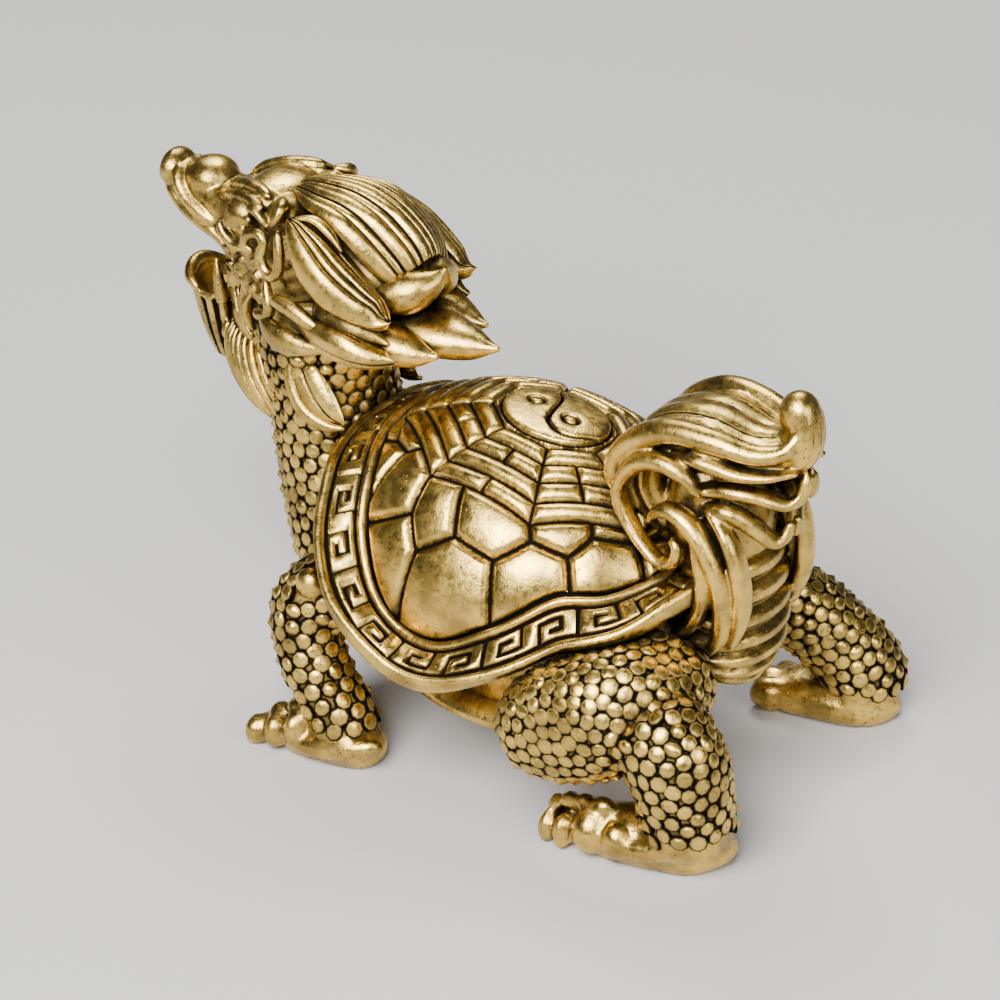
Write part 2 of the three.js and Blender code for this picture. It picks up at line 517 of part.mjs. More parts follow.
const frontLeg = {
  limbs: [[
    [-8.5, 5.5, 12.4, 2.6, 3.2], [-12.6, 9.0, 12.4, 2.6, 2.8], [-15.0, 10.8, 10.8, 2.5, 2.5],
    [-14.8, 11.4, 8.2, 2.3, 2.2], [-13.6, 11.6, 5.6, 2.3, 2.2], [-12.2, 11.6, 3.4, 2.3, 2.3],
    [-11.3, 11.5, 1.0, 2.3, 2.4],
  ]],
  foot: [
    [-8.8, 10.8, 1.0, 1.6, 1.4], [-11, 11.5, 1.2, 2.4, 1.7], [-14, 12.5, 1.2, 2.5, 1.9],
    [-16.4, 13.1, 1.0, 2.3, 1.6],
  ],
  toes: [[-15.4, 11.4, 1.2, 2.8, 8], [-15.8, 12.8, 1.3, 3.2, 18], [-15.0, 13.9, 1.2, 2.9, 30]],
};
const rearLeftLeg = {
  which: -1,
  limbs: [[
    [11.0, 5.0, 12.2, 2.8, 3.4], [11.6, 9.6, 11.2, 3.2, 4.0], [9.6, 11.6, 10.3, 3.4, 4.2],
    [6.2, 12.3, 8.9, 3.2, 3.9], [2.6, 12.7, 8.0, 2.4, 2.6],
  ], [
    [12.6, 11.0, 11.0, 3.0, 3.2], [15.2, 11.4, 8.4, 3.0, 3.3], [15.9, 10.9, 5.0, 2.9, 3.1],
    [15.9, 10.2, 1.4, 2.8, 3.0],
  ]],
  foot: [
    [18.6, 8.6, 1.2, 1.7, 1.5], [15.4, 9.8, 1.6, 2.8, 2.4], [12, 11.8, 1.6, 2.7, 2.7],
    [9.6, 13.2, 1.4, 2.4, 2.4],
  ],
  toes: [[9.8, 11.8, 1.4, 2.6, 20], [9.8, 13.0, 1.6, 2.7, 36], [11.2, 13.4, 1.7, 2.4, 66]],
};
const rearRightLeg = {
  which: 1,
  limbs: [[
    [6.5, 5.0, 11.0, 2.8, 3.2], [8.8, 8.6, 10.4, 2.8, 3.0], [11.2, 10.8, 8.8, 2.8, 2.8],
    [13.4, 12.5, 6.4, 2.7, 2.7], [15.0, 13.6, 4.0, 2.9, 2.6], [15.8, 14.1, 1.2, 3.0, 2.6],
  ]],
  foot: [
    [17.8, 14.8, 0.8, 1.8, 1.2], [14.8, 13.6, 1.3, 3.0, 1.9], [11.6, 12.6, 1.2, 2.6, 1.8],
    [9.2, 11.9, 1.0, 2.2, 1.5],
  ],
  toes: [[10.2, 10.8, 1.1, 2.3, -14], [9.8, 12.0, 1.2, 2.4, -4], [10.2, 13.2, 1.1, 2.2, 10]],
};

add(makeShell());
let plate = toSolid(makeTopPlate());
brokenBars.forEach((rows, eighth) => rows.forEach((broken, row) => {
  if (broken) plate = plate.subtract(toSolid(makeBarCut(eighth, row)));
}));
solids.push(plate);
[-1, 1].forEach((which) => scutes.forEach((names) => add(makeScute(names, which))));

// The neck rises out of the chest, and the head, mane, tail and legs grow from the body
add(form([
  [-14.6, 0, 8.2, 6.4, 4.6], [-17.6, 0, 11.6, 6.0, 4.9], [-19.6, 0, 16.6, 4.9, 4.5],
  [-20.6, 0, 21.4, 4.5, 4.4], [-21.2, 0, 26.4, 4.6, 4.8], [-21.4, 0, 30, 4, 4.4],
], { rings: 6, sides: 12, blunt: [0.1, 0.05] }));
makeHead();
makeMane();
makeTail();
makeLeg({ ...frontLeg, which: -1 });
makeLeg({ ...frontLeg, which: 1 });
makeLeg(rearLeftLeg);
makeLeg(rearRightLeg);

let casting = solids[0];
solids.slice(1).forEach((solid) => {
  casting = casting.add(solid);
});

// The inside of the lower jaw is hollow, and the soles are ground flat
casting = casting.subtract(toSolid(ball(-29.9, 0, 28.6, 2.3, 2.0, 2.5, 8, 6)));
const floorBlock = new THREE.BoxGeometry(2 * figureLength, 2 * figureWidth, figureHeight);
floorBlock.translate(0, 0, -figureHeight / 2);
casting = casting.subtract(toSolid(floorBlock));

const mesh = casting.getMesh();
const surface = new THREE.BufferGeometry();
surface.setAttribute('position', new THREE.Float32BufferAttribute(mesh.vertProperties, 3));
surface.setIndex(Array.from(mesh.triVerts));
surface.computeBoundingBox();
const box = surface.boundingBox;
surface.translate(-(box.min.x + box.max.x) / 2, -(box.min.y + box.max.y) / 2, -box.min.z);
surface.computeVertexNormals();

const brass = new THREE.MeshStandardMaterial({ color: 0xb5924a, roughness: 0.38, metalness: 1 });
const dragonTurtle = new THREE.Mesh(surface, brass);
dragonTurtle.name = 'dragon_turtle';

const figure = new THREE.Group();
figure.name = 'dragon_turtle_figure';
figure.add(dragonTurtle);
export default figure;
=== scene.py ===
# A small dragon turtle in cast, aged brass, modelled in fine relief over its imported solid
import math

import bpy
import numpy as np
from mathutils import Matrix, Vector
from mathutils.bvhtree import BVHTree
from mathutils.kdtree import KDTree


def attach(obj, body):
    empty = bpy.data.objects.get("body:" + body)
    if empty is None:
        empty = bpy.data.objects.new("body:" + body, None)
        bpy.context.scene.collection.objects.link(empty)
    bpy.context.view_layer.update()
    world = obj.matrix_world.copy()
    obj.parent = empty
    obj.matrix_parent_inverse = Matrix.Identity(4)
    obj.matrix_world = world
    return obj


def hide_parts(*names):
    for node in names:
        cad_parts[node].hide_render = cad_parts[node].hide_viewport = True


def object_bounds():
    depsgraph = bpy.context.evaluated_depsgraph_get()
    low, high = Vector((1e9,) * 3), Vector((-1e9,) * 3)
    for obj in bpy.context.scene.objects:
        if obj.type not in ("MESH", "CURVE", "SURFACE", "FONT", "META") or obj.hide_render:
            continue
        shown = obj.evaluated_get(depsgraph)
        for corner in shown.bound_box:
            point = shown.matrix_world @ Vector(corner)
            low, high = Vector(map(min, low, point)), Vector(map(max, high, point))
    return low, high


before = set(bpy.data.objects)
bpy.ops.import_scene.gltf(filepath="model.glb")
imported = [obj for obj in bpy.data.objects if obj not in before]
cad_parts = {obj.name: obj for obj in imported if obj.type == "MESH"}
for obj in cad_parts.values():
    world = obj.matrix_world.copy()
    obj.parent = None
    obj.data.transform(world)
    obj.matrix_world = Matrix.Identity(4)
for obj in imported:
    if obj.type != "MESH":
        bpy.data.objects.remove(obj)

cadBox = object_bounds()

# Forms are laid out in millimetres on the pose's own grid: the head towards -X, the ground
# point between the feet at the origin. That point lies here in the row frame.
gridOrigin = np.array([7.757, -0.354, 0.0])
millimetre = 0.001


# Curves and skins

def spline(points, t, runOn):
    # a smooth curve through the points; runOn carries its end slopes past the ends
    points = np.asarray(points, float)
    first = 2 * points[0] - points[1] if runOn else points[0]
    last = 2 * points[-1] - points[-2] if runOn else points[-1]
    padded = np.vstack([first, points, last])
    spot = np.clip(t, 0, 1) * (len(points) - 1)
    low = np.minimum(spot.astype(int), len(points) - 2)
    s = (spot - low)[:, None]
    a, b, c, d = padded[low], padded[low + 1], padded[low + 2], padded[low + 3]
    return 0.5 * (2 * b + (c - a) * s + (2 * a - 5 * b + 4 * c - d) * s ** 2
                  + (3 * b - a - 3 * c + d) * s ** 3)


def unit(vectors):
    return vectors / np.maximum(np.linalg.norm(vectors, axis=-1, keepdims=True), 1e-12)


def skin(rings, firstTip, lastTip, dark=None):
    # a closed skin through rings of points, with a point at either end; dark marks the grooves
    rings = np.asarray(rings, float)
    count, sides = rings.shape[:2]
    points = np.vstack([[firstTip], rings.reshape(-1, 3), [lastTip]])
    here = 1 + np.arange(sides)
    there = np.roll(here, -1)
    rows = (np.arange(count - 1) * sides)[:, None]
    quads = np.stack([here + rows, there + rows, there + rows + sides, here + rows + sides], -1)
    quads = quads.reshape(-1, 4)
    end = (count - 1) * sides
    fans = np.concatenate([
        np.stack([np.zeros(sides, int), there, here], -1),
        np.stack([np.full(sides, len(points) - 1), here + end, there + end], -1),
    ])
    a, b, c, d = (points[quads[:, k]] for k in range(4))
    bulk = np.einsum("ij,ij->", a, np.cross(b, c)) + np.einsum("ij,ij->", a, np.cross(c, d))
    if bulk < 0:
        quads, fans = quads[:, ::-1], fans[:, ::-1]
    dark = np.zeros((count, sides)) if dark is None else dark
    return points, quads, fans, np.concatenate([[0], np.ravel(dark), [0]])


def form(stations, rings=40, sides=28, side=(0, 1, 0), blunt=(0, 0), strands=0, depth=0.2,
         sweep=0.0, ripples=0, rippleDepth=0.0):
    # A rounded form along a line. A station is x, y, z, half-width and half-depth, or one
    # radius. The skin can carry rounded strands with sharp grooves between, or ripples across.
    stations = np.array([(*station, station[-1])[:5] for station in stations], float)
    even = np.arange(1, rings + 1) / (rings + 1)
    eased = (1 - np.cos(np.pi * even)) / 2
    t = even + (eased - even) * (0.85 if sum(blunt) > 0 else 0.3)
    if ripples:
        t = even
    centre = spline(stations[:, :3], t, True)
    along = unit(spline(stations[:, :3], t + 1e-4, True) - spline(stations[:, :3], t - 1e-4, True))
    girth = spline(stations[:, 3:], t, False)
    swell = np.ones(rings)
    for reach, toEnd in ((blunt[0], t), (blunt[1], 1 - t)):
        if reach:
            near = np.clip(toEnd / reach, 0, 1)
            swell *= np.sqrt(1 - (1 - near) ** 2)
    dark = np.zeros((rings, sides))
    if ripples:
        wave = np.abs(np.sin(np.pi * ripples * t))
        swell *= 1 - rippleDepth * (1 - wave) ** 1.5
        dark += np.clip(1 - wave / 0.35, 0, 1)[:, None]
    wide = np.asarray(side, float)
    wide = unit(wide - (along @ wide)[:, None] * along)
    deep = np.cross(wide, along)
    turn = 2 * np.pi * np.arange(sides) / sides
    reach = np.maximum(swell, 0.02)[:, None] * np.ones(sides)
    if strands:
        place = strands * (turn[None, :] + sweep * (t[:, None] - 0.5)) / (2 * np.pi)
        ridge = 1 - np.abs(2 * (place % 1) - 1)
        fade = np.clip(np.minimum(t, 1 - t) / 0.12, 0, 1)[:, None]
        reach = reach * (1 - depth * fade * (1 - np.sqrt(1 - (1 - ridge) ** 2)))
        dark += fade * np.clip(1.3 - ridge / 0.24, 0, 1)
    across = (np.cos(turn) * reach)[..., None] * (wide * girth[:, :1])[:, None, :]
    down = (np.sin(turn) * reach)[..., None] * (deep * girth[:, 1:2])[:, None, :]
    ends = spline(stations[:, :3], np.array([0.0, 1.0]), True)
    return skin(centre[:, None, :] + across + down, ends[0], ends[1], dark)


def onSide(which, stations, **options):
    # the same form on the left (-1) or the right (+1) of the body
    placed = [(x, y * which, *rest) for x, y, *rest in stations]
    sx, sy, sz = options.pop("side", (0, 1, 0))
    return form(placed, side=(sx, sy * which, sz), **options)


def ball(x, y, z, rx, ry, rz, sides=28, rings=18):
    slant = np.pi * np.arange(1, rings) / rings
    turn = 2 * np.pi * np.arange(sides) / sides
    shape = np.stack([
        np.sin(slant)[:, None] * np.cos(turn), np.sin(slant)[:, None] * np.sin(turn),
        np.cos(slant)[:, None] * np.ones(sides),
    ], -1)
    middle, sizes = np.array([x, y, z]), np.array([rx, ry, rz])
    tip = np.array([0, 0, rz])
    return skin(middle + shape * sizes, middle + tip, middle - tip)


def petal(low, high, core, strands=(0, 1), bulge=(0.4, 0.4), ridge=0.5, thick=0.6, rings=48,
          across=44, which=1):
    # A leaf of hair between two edge lines, bulging away from the core. Its front is cut into
    # rounded strands at the given shares of its width; its back is a shallow curve.
    mirror = np.array([1, which, 1])
    even = np.arange(1, rings + 1) / (rings + 1)
    t = even + ((1 - np.cos(np.pi * even)) / 2 - even) * 0.6
    first, last = (spline(np.array(edge) * mirror, t, True) for edge in (low, high))
    span = last - first
    along = np.gradient((first + last) / 2, axis=0)
    outward = unit(np.cross(span, along))
    away = (first + last) / 2 - np.array(core) * mirror
    outward *= np.sign(np.sum(outward * away))
    s = np.linspace(0, 1, across)
    edges = np.array(strands, float)
    place = np.clip(np.searchsorted(edges, s, side="right") - 1, 0, len(edges) - 2)
    breadth = edges[place + 1] - edges[place]
    inStrand = (s - edges[place]) / breadth
    width = np.linalg.norm(span, axis=1)[:, None]
    strandRise = np.sqrt(np.clip(1 - (2 * inStrand - 1) ** 2, 0, 1)) * breadth * width / 2 * ridge
    arch = spline(np.array(bulge)[:, None], t, False) * np.sin(np.pi * s)
    closing = np.clip((1 - t) / 0.22, 0, 1)[:, None] ** 0.75  # the leaf thins out to its tip
    raised = (arch + strandRise) * closing
    front = first[:, None] + span[:, None] * s[:, None] + outward[:, None] * raised[..., None]
    inner = edges[1:-1]
    toGroove = np.min(np.abs(s[:, None] - inner), axis=1) if len(inner) else np.ones(across)
    dark = np.clip(1.35 - toGroove * width / 0.13, 0, 1)
    s = np.linspace(1, 0, 12)[1:-1]
    under = thick * np.sin(np.pi * s) * np.minimum(1, width / 1.2) * closing
    back = first[:, None] + span[:, None] * s[:, None] - outward[:, None] * under[..., None]
    ends = [(np.array(low[n]) + np.array(high[n])) / 2 * mirror for n in (0, -1)]
    dark = np.hstack([dark, np.zeros(back.shape[:2])])
    return skin(np.concatenate([front, back], axis=1), *ends, dark)


def meshFrom(name, skins):
    # one mesh from several closed skins
    points, faces, dark, base = [], [], [], 0
    for skinPoints, quads, fans, marks in skins:
        points.append(skinPoints)
        dark.append(marks)
        faces += (quads + base).tolist() + (fans + base).tolist()
        base += len(skinPoints)
    mesh = bpy.data.meshes.new(name)
    mesh.from_pydata((np.vstack(points) * millimetre).tolist(), [], faces)
    marked(mesh, np.concatenate(dark))
    mesh.update()
    made = bpy.data.objects.new(name, mesh)
    bpy.context.scene.collection.objects.link(made)
    return made


def marked(mesh, dark):
    mesh.attributes.new("groove", "FLOAT", "POINT").data.foreach_set("value", dark)


def marksOf(mesh):
    dark = np.zeros(len(mesh.vertices))
    if "groove" in mesh.attributes:
        mesh.attributes["groove"].data.foreach_get("value", dark)
    return dark


def settled(worked):
    # the object's modifiers turned into a plain mesh
    graph = bpy.context.evaluated_depsgraph_get()
    plain = bpy.data.meshes.new_from_object(worked.evaluated_get(graph))
    worked.modifiers.clear()
    worked.data = plain
    return worked


def treeOf(points):
    tree = KDTree(len(points))
    for n, point in enumerate(points):
        tree.insert(point, n)
    tree.balance()
    return tree


def fused(worked, voxel, softening, triangles):
    # overlapping forms become one skin with soft joints, thinned where it is smooth; the marks
    # of the grooves are carried over from the nearest point of the forms
    before, dark = pointsOf(worked), marksOf(worked.data)
    melt = worked.modifiers.new("melt", "REMESH")
    melt.mode = "VOXEL"
    melt.voxel_size = voxel * millimetre
    soften = worked.modifiers.new("soften", "SMOOTH")
    soften.factor, soften.iterations = 0.5, softening
    settled(worked)
    if dark.any():
        tree = treeOf(before)
        found = [tree.find(point) for point in pointsOf(worked)]
        marked(worked.data, np.array([dark[n] if gap < 0.3 else 0.0 for _, n, gap in found]))
    return thinned(worked, triangles)


def thinned(worked, triangles):
    faces = sum(len(polygon.vertices) - 2 for polygon in worked.data.polygons)
    thin = worked.modifiers.new("thin", "DECIMATE")
    thin.ratio = min(1.0, triangles / faces)
    thin.use_collapse_triangulate = True
    return settled(worked)


def nodeMaker(tree):
    # a short way to add a node: inputs are linked from sockets or set from values
    def make(kind, inputs=None, **settings):
        node = tree.nodes.new(kind)
        for key, value in settings.items():
            setattr(node, key, value)
        for key, value in (inputs or {}).items():
            if isinstance(value, bpy.types.NodeSocket):
                tree.links.new(value, node.inputs[key])
            else:
                node.inputs[key].default_value = value
        return node
    return make


# The shell, as one skin whose height follows the distance to its carved lines

shell = {
    "halfLength": 15.6, "halfWidth": 12.1, "rise": 12.7, "noseUp": 8.0, "middle": (-3.6, 0, 12),
    "bellyMiddle": -1.6, "dotRadius": 2.1,
    "plateLift": 0.5, "scuteLift": 0.42, "boss": 0.256, "rows": (0.3, 0.405, 0.506, 0.606, 0.697),
    "firstCorner": 25.5,
    "railSlants": (54, 54.5, 58, 61.5, 63.5, 77, 90, 88.5, 72.5, 57.5, 50, 44.5, 41),
    "bandTilts": (-6, -6, -4, 22, 46, 44, 24, 8, 16, 14, 18, 22, 24),
    "rimWidth": 4.0, "rimThickness": 1.3, "railLines": (0.06, 1.04, 3.12), "railHeight": 0.55,
    "pairLength": 6.957, "pairStart": 5.27, "meanderHeight": 0.34, "lineHalfWidth": 0.13,
    "columns": 940, "domeRows": 150, "bandRows": 52, "triangles": 56000,
    # half the width of a groove's floor, and the radius of the edge beside it
    "bossRound": (0.06, 0.2), "plateRound": (0.07, 0.6), "scuteRound": (0.07, 0.42),
    "scuteSwell": (0.3, 2.6, 0.24), "grooveFloor": 0.02,
    "railRound": 0.36, "meanderRound": 0.12, "edgeDrop": (0.4, 0.2),
    "domeDark": (0.05, 0.18), "bandDark": (0.1, 0.17),  # where the dark fades, and how far
    "rimEdge": [(0, 0.15), (0.03, -0.15), (0, -0.45), (-0.08, -0.75), (-0.3, -0.98)],
    "wall": (12.6, 9.8, 8), "wallTuck": 2.4, "wallDrop": 1.2, "bellyRise": (3.6, 2.0),
    "belly": [
        (12.4, 8.8, 6.6), (13.2, 9.6, 6.1), (13.6, 10, 5.6), (13.65, 10.05, 5.3), (13.4, 9.9, 5),
        (12.8, 9.4, 4.82), (10, 7.4, 4.72), (6, 4.4, 4.7),
    ],
}
brokenBars = [
    (1, 1, 0), (1, 0, 1), (1, 0, 0), (0, 0, 1), (1, 0, 0), (0, 1, 1), (1, 1, 1), (0, 0, 0),
]
# Where the scutes' edges meet, as a turn and a slant. An edge can also run to the plate (P)
# or to the rail (R) at the turn that follows the letter.
scuteJoints = {
    "g": (111, 56.8), "o": (103, 65.8), "h": (93.5, 55.8), "i": (79.5, 58), "j": (69, 48.8),
    "k": (56, 51.3), "l": (46.5, 44.5), "m": (28.5, 46.3), "y": (134, 45), "x": (144, 46.5),
    "z": (12, 46),
}
scuteEdges = [
    "g P115.5", "g R123.5", "g o", "o R102", "o h", "h P101", "h i", "i R76", "i j", "j P70.5",
    "j k", "k R55", "k l", "l P46", "l m", "m P25.5", "m R30", "y P131", "y R128", "y x",
    "x P158", "x R149", "m z", "z P3", "z R10",
]
taijiLine = [
    (-118, 15.6), (-110, 10.5), (-108.5, 6.25), (116, 1.75), (85.5, 6.25), (64, 10),
    (45, 11.75), (24.5, 12.75), (8, 15.2),
]
taijiDots = [(-168.5, 7.0), (17, 4.75)]
# A pair of hooks as lines, along the band and across it in shares of the band
meanderPair = [
    [(0, 0), (0, 1)],
    [(0.4, 1), (0.4, 0.3), (0.17, 0.3), (0.17, 0.66), (0.28, 0.66)],
    [(0.6, 0), (0.6, 0.7), (0.83, 0.7), (0.83, 0.34), (0.72, 0.34)],
]


def onDome(turn, slant, lift=0.0):
    a, b = np.radians(turn), np.radians(slant)
    direction = np.stack([np.sin(b) * np.cos(a), -np.sin(b) * np.sin(a), np.cos(b)], -1)
    sizes = np.array([shell["halfLength"], shell["halfWidth"], shell["rise"]])
    outward = unit(direction / sizes)
    point = direction * sizes + outward * np.asarray(lift, float)[..., None]
    tilt = math.radians(shell["noseUp"])
    x = point[..., 0] * math.cos(tilt) + point[..., 2] * math.sin(tilt)
    z = -point[..., 0] * math.sin(tilt) + point[..., 2] * math.cos(tilt)
    return np.stack([x, point[..., 1], z], -1) + shell["middle"]


def aroundShell(values, turn):
    # a value around the shell, given at even turns from tail to neck, the same on both sides
    values = np.asarray(values, float)
    folded = np.abs((np.asarray(turn, float) + 540) % 360 - 180)
    spot = folded * (len(values) - 1) / 180
    low = np.minimum(spot.astype(int), len(values) - 2)
    s = spot - low
    after = np.where(low + 2 < len(values), low + 2, 2 * len(values) - low - 4)
    before, start, end, last = values[np.abs(low - 1)], values[low], values[low + 1], values[after]
    return ((2 * s ** 3 - 3 * s ** 2 + 1) * start + (s ** 3 - 2 * s ** 2 + s) * (end - before) / 2
            + (3 * s ** 2 - 2 * s ** 3) * end + (s ** 3 - s ** 2) * (last - start) / 2)


def bandPoint(turn, outwardBy, lift):
    turn = np.asarray(turn, float)
    inner, ahead, behind = (
        onDome(turn + step, aroundShell(shell["railSlants"], turn + step)) for step in (0, 3, -3)
    )
    run = ahead - behind
    outward = unit(np.stack([-run[..., 1], run[..., 0], np.zeros_like(turn)], -1))
    facing = np.einsum("...i,...i", outward, inner - np.array(shell["middle"]))
    outward = outward * np.where(facing < 0, -1, 1)[..., None]
    tilt = np.radians(aroundShell(shell["bandTilts"], turn))[..., None]
    up = np.array([0, 0, 1.0])
    down = outward * np.cos(tilt) - up * np.sin(tilt)
    upward = outward * np.sin(tilt) + up * np.cos(tilt)
    return inner + down * np.asarray(outwardBy)[..., None] + upward * np.asarray(lift)[..., None]


def octagonTurnSlant(eighth, along, share):
    corners = [math.radians(shell["firstCorner"] + 45 * n) for n in (eighth, eighth + 1)]
    start, end = (np.array([math.cos(a), math.sin(a)]) * share for a in corners)
    flat = start + (end - start) * np.asarray(along)[..., None]
    slant = np.degrees(np.arcsin(np.linalg.norm(flat, axis=-1)))
    return np.degrees(np.arctan2(flat[..., 1], flat[..., 0])), slant


def plateShareAt(turn, slant):
    # how far out a spot lies in the eight-sided plate, as the share at the corners
    flatX = np.sin(np.radians(slant)) * np.cos(np.radians(turn))
    flatY = np.sin(np.radians(slant)) * np.sin(np.radians(turn))
    facing = shell["firstCorner"] + 22.5
    side = np.radians(facing + 45 * np.round((np.degrees(np.arctan2(flatY, flatX)) - facing) / 45))
    return (flatX * np.cos(side) + flatY * np.sin(side)) / math.cos(math.pi / 8)


def scuteLines():
    steps = np.linspace(0, 1, 160)
    lines = []
    for edge in scuteEdges:
        ends = []
        for name in edge.split():
            if name in scuteJoints:
                ends.append(scuteJoints[name])
                continue
            turn = float(name[1:])
            if name[0] == "R":
                ends.append((turn, float(aroundShell(shell["railSlants"], turn))))
            else:
                slants = np.linspace(30, 50, 400)
                share = plateShareAt(turn, slants)
                ends.append((turn, slants[np.argmin(abs(share - shell["rows"][-1]))]))
        start, end = ends
        for which in (-1, 1):
            turn = which * (start[0] + (end[0] - start[0]) * steps)
            lines.append(onDome(turn, start[1] + (end[1] - start[1]) * steps))
    return np.vstack(lines)


def plateLines():
    steps = np.linspace(0, 1, 120)
    rows = shell["rows"]
    lines = []
    for eighth in range(8):
        lines += [onDome(*octagonTurnSlant(eighth, steps, share)) for share in rows]
        corner = [octagonTurnSlant(eighth, 0.0, share) for share in np.linspace(rows[0], rows[-1], 60)]
        lines.append(np.array([onDome(turn, slant) for turn, slant in corner]))
        for row, broken in enumerate(brokenBars[eighth]):
            if broken:
                shares = np.linspace(rows[row + 1], rows[row + 2], 30)
                spots = [octagonTurnSlant(eighth, 0.5, share) for share in shares]
                lines.append(np.array([onDome(turn, slant) for turn, slant in spots]))
    around = np.linspace(0, 360, 300)
    lines.append(onDome(around, np.full(300, math.degrees(math.asin(shell["boss"])))))
    flat = [(s * math.cos(math.radians(a)), s * math.sin(math.radians(a))) for a, s in taijiLine]
    swung = spline(flat, np.linspace(0, 1, 300), True)
    lines.append(onDome(np.degrees(np.arctan2(swung[:, 1], swung[:, 0])),
                        np.linalg.norm(swung, axis=1)))
    for turn, slant in taijiDots:
        x, y = slant * math.cos(math.radians(turn)), slant * math.sin(math.radians(turn))
        ringX = x + shell["dotRadius"] * np.cos(np.radians(around))
        ringY = y + shell["dotRadius"] * np.sin(np.radians(around))
        lines.append(onDome(np.degrees(np.arctan2(ringY, ringX)), np.hypot(ringX, ringY)))
    return np.vstack(lines)


def distanceTo(lines, places):
    tree = treeOf(lines)
    return np.array([tree.find(place)[2] for place in places])


def meanderDistance(run, across, pairLength, bandWidth):
    # how far each point of the band is from the nearest line of the meander
    nearest = np.full(run.shape, 9.0)
    here = np.stack([run % pairLength, across], -1)
    for line in meanderPair:
        corners = np.array(line) * (pairLength, bandWidth)
        for start, end in zip(corners, corners[1:]):
            for shift in (0, pairLength):
                first, last = start + (shift, 0), end + (shift, 0)
                way = last - first
                share = np.clip(((here - first) @ way) / (way @ way), 0, 1)
                nearest = np.minimum(nearest, np.linalg.norm(
                    here - first - share[..., None] * way, axis=-1))
    return nearest


def pillow(distance, halfWidth, radius):
    # 0 on a line's floor, rising round to 1 on the raised face beside it
    near = np.clip((distance - halfWidth) / radius, 0, 1)
    return np.sqrt(1 - (1 - near) ** 2)


def grooveMark(distance, darkHalf, fading):
    return 1 - np.clip((distance - darkHalf) / fading, 0, 1)


def makeShell():
    turn = np.arange(shell["columns"]) * 360 / shell["columns"]
    railSlant = aroundShell(shell["railSlants"], turn)
    share = np.linspace(0.004, 1, shell["domeRows"])[:, None]
    turns = turn[None, :] * np.ones_like(share)
    slants = share * railSlant[None, :]
    bare = onDome(turns, slants).reshape(-1, 3)
    plateShare = plateShareAt(turns, slants)
    inPlate = plateShare < shell["rows"][-1]
    inBoss = np.sin(np.radians(slants)) < shell["boss"]
    toPlate = distanceTo(plateLines(), bare).reshape(turns.shape)
    toScute = distanceTo(scuteLines(), bare).reshape(turns.shape)
    toRail = distanceTo(onDome(turn, railSlant), bare).reshape(turns.shape)
    lineHalf = shell["lineHalfWidth"]
    # the grooves outside the plate are a little wider
    outside = np.minimum(np.minimum(toScute, toRail) - 0.06, toPlate - 0.02)
    distance = np.where(inPlate, toPlate, outside)
    bossRound, plateRound, scuteRound = (shell[name] for name in ("bossRound", "plateRound", "scuteRound"))
    halfLine, radius = (np.where(inBoss, bossRound[n], np.where(inPlate, plateRound[n], scuteRound[n]))
                        for n in (0, 1))
    top = np.where(inPlate, shell["plateLift"], shell["scuteLift"])
    swellStart, swellReach, swellHeight = shell["scuteSwell"]
    domed = pillow(distance, swellStart, swellReach) * swellHeight * ~inPlate
    floor = shell["grooveFloor"]
    domeLift = floor + (top - floor) * pillow(distance, halfLine, radius) + domed
    rings = list(onDome(turns, slants, domeLift))
    marks = [grooveMark(distance, *shell["domeDark"])]

    width = shell["rimWidth"]
    by = np.linspace(0.02, width - 0.05, shell["bandRows"])[:, None] * np.ones(len(turn))
    middle = bandPoint(turn, np.full(len(turn), width / 2), np.zeros(len(turn)))
    lengths = np.linalg.norm(np.roll(middle, -1, 0) - middle, axis=1)
    run = np.concatenate([[0], np.cumsum(lengths)[:-1]])
    run = np.minimum(run, lengths.sum() - run)
    _, meanderStart, meanderEnd = shell["railLines"]
    bandWidth = meanderEnd - meanderStart
    pairLength = shell["pairLength"]
    run = (run - shell["pairStart"]) % pairLength
    toLines = np.min([np.abs(by - line) for line in shell["railLines"]], axis=0)
    inMeander = (by > meanderStart) & (by < meanderEnd)
    spiral = meanderDistance(run[None, :] * np.ones_like(by), by - meanderStart, pairLength, bandWidth)
    distance = np.where(inMeander, np.minimum(toLines, spiral), toLines)
    rail = pillow(distance, lineHalf * 0.8, shell["railRound"]) * shell["railHeight"]
    key = pillow(distance, lineHalf, shell["meanderRound"]) * shell["meanderHeight"]
    dropReach, drop = shell["edgeDrop"]
    overEdge = np.clip((by - width + dropReach) / dropReach, 0, 1)
    lift = np.where(inMeander, key, rail) - drop * overEdge ** 2
    rings += list(bandPoint(turn[None, :] * np.ones_like(by), by, lift))
    marks.append(grooveMark(distance, *shell["bandDark"]))

    under = shell["rimThickness"]
    edge = shell["rimEdge"] + [(-0.7, -under), (-1.6, -under * 1.1)]
    rings += [bandPoint(turn, np.full(len(turn), width + out), np.full(len(turn), up))
              for out, up in edge]
    lean = np.cos(np.radians(turn))
    rise = np.where(lean > 0, *shell["bellyRise"]) * lean ** 2
    wall = bodyRing(turn, *shell["wall"])
    tuck = np.full(len(turn), width - shell["wallTuck"])
    tucked = bandPoint(turn, tuck, np.full(len(turn), -under * 1.3))
    wall[:, 2] = np.maximum(wall[:, 2], tucked[:, 2] - shell["wallDrop"])
    rings.append(wall)
    rings += [bodyRing(turn, length, breadth, z + rise) for length, breadth, z in shell["belly"]]
    points = np.array(rings)
    dark = np.concatenate([part.reshape(-1) for part in marks])
    dark = np.concatenate([dark, np.zeros(len(points) * len(turn) - len(dark))])
    top = onDome(0.0, 0.0, shell["plateLift"])
    bottom = (shell["bellyMiddle"], 0, shell["belly"][-1][2])
    return thinned(meshFrom("shell", [skin(points, top, bottom, dark)]), shell["triangles"])


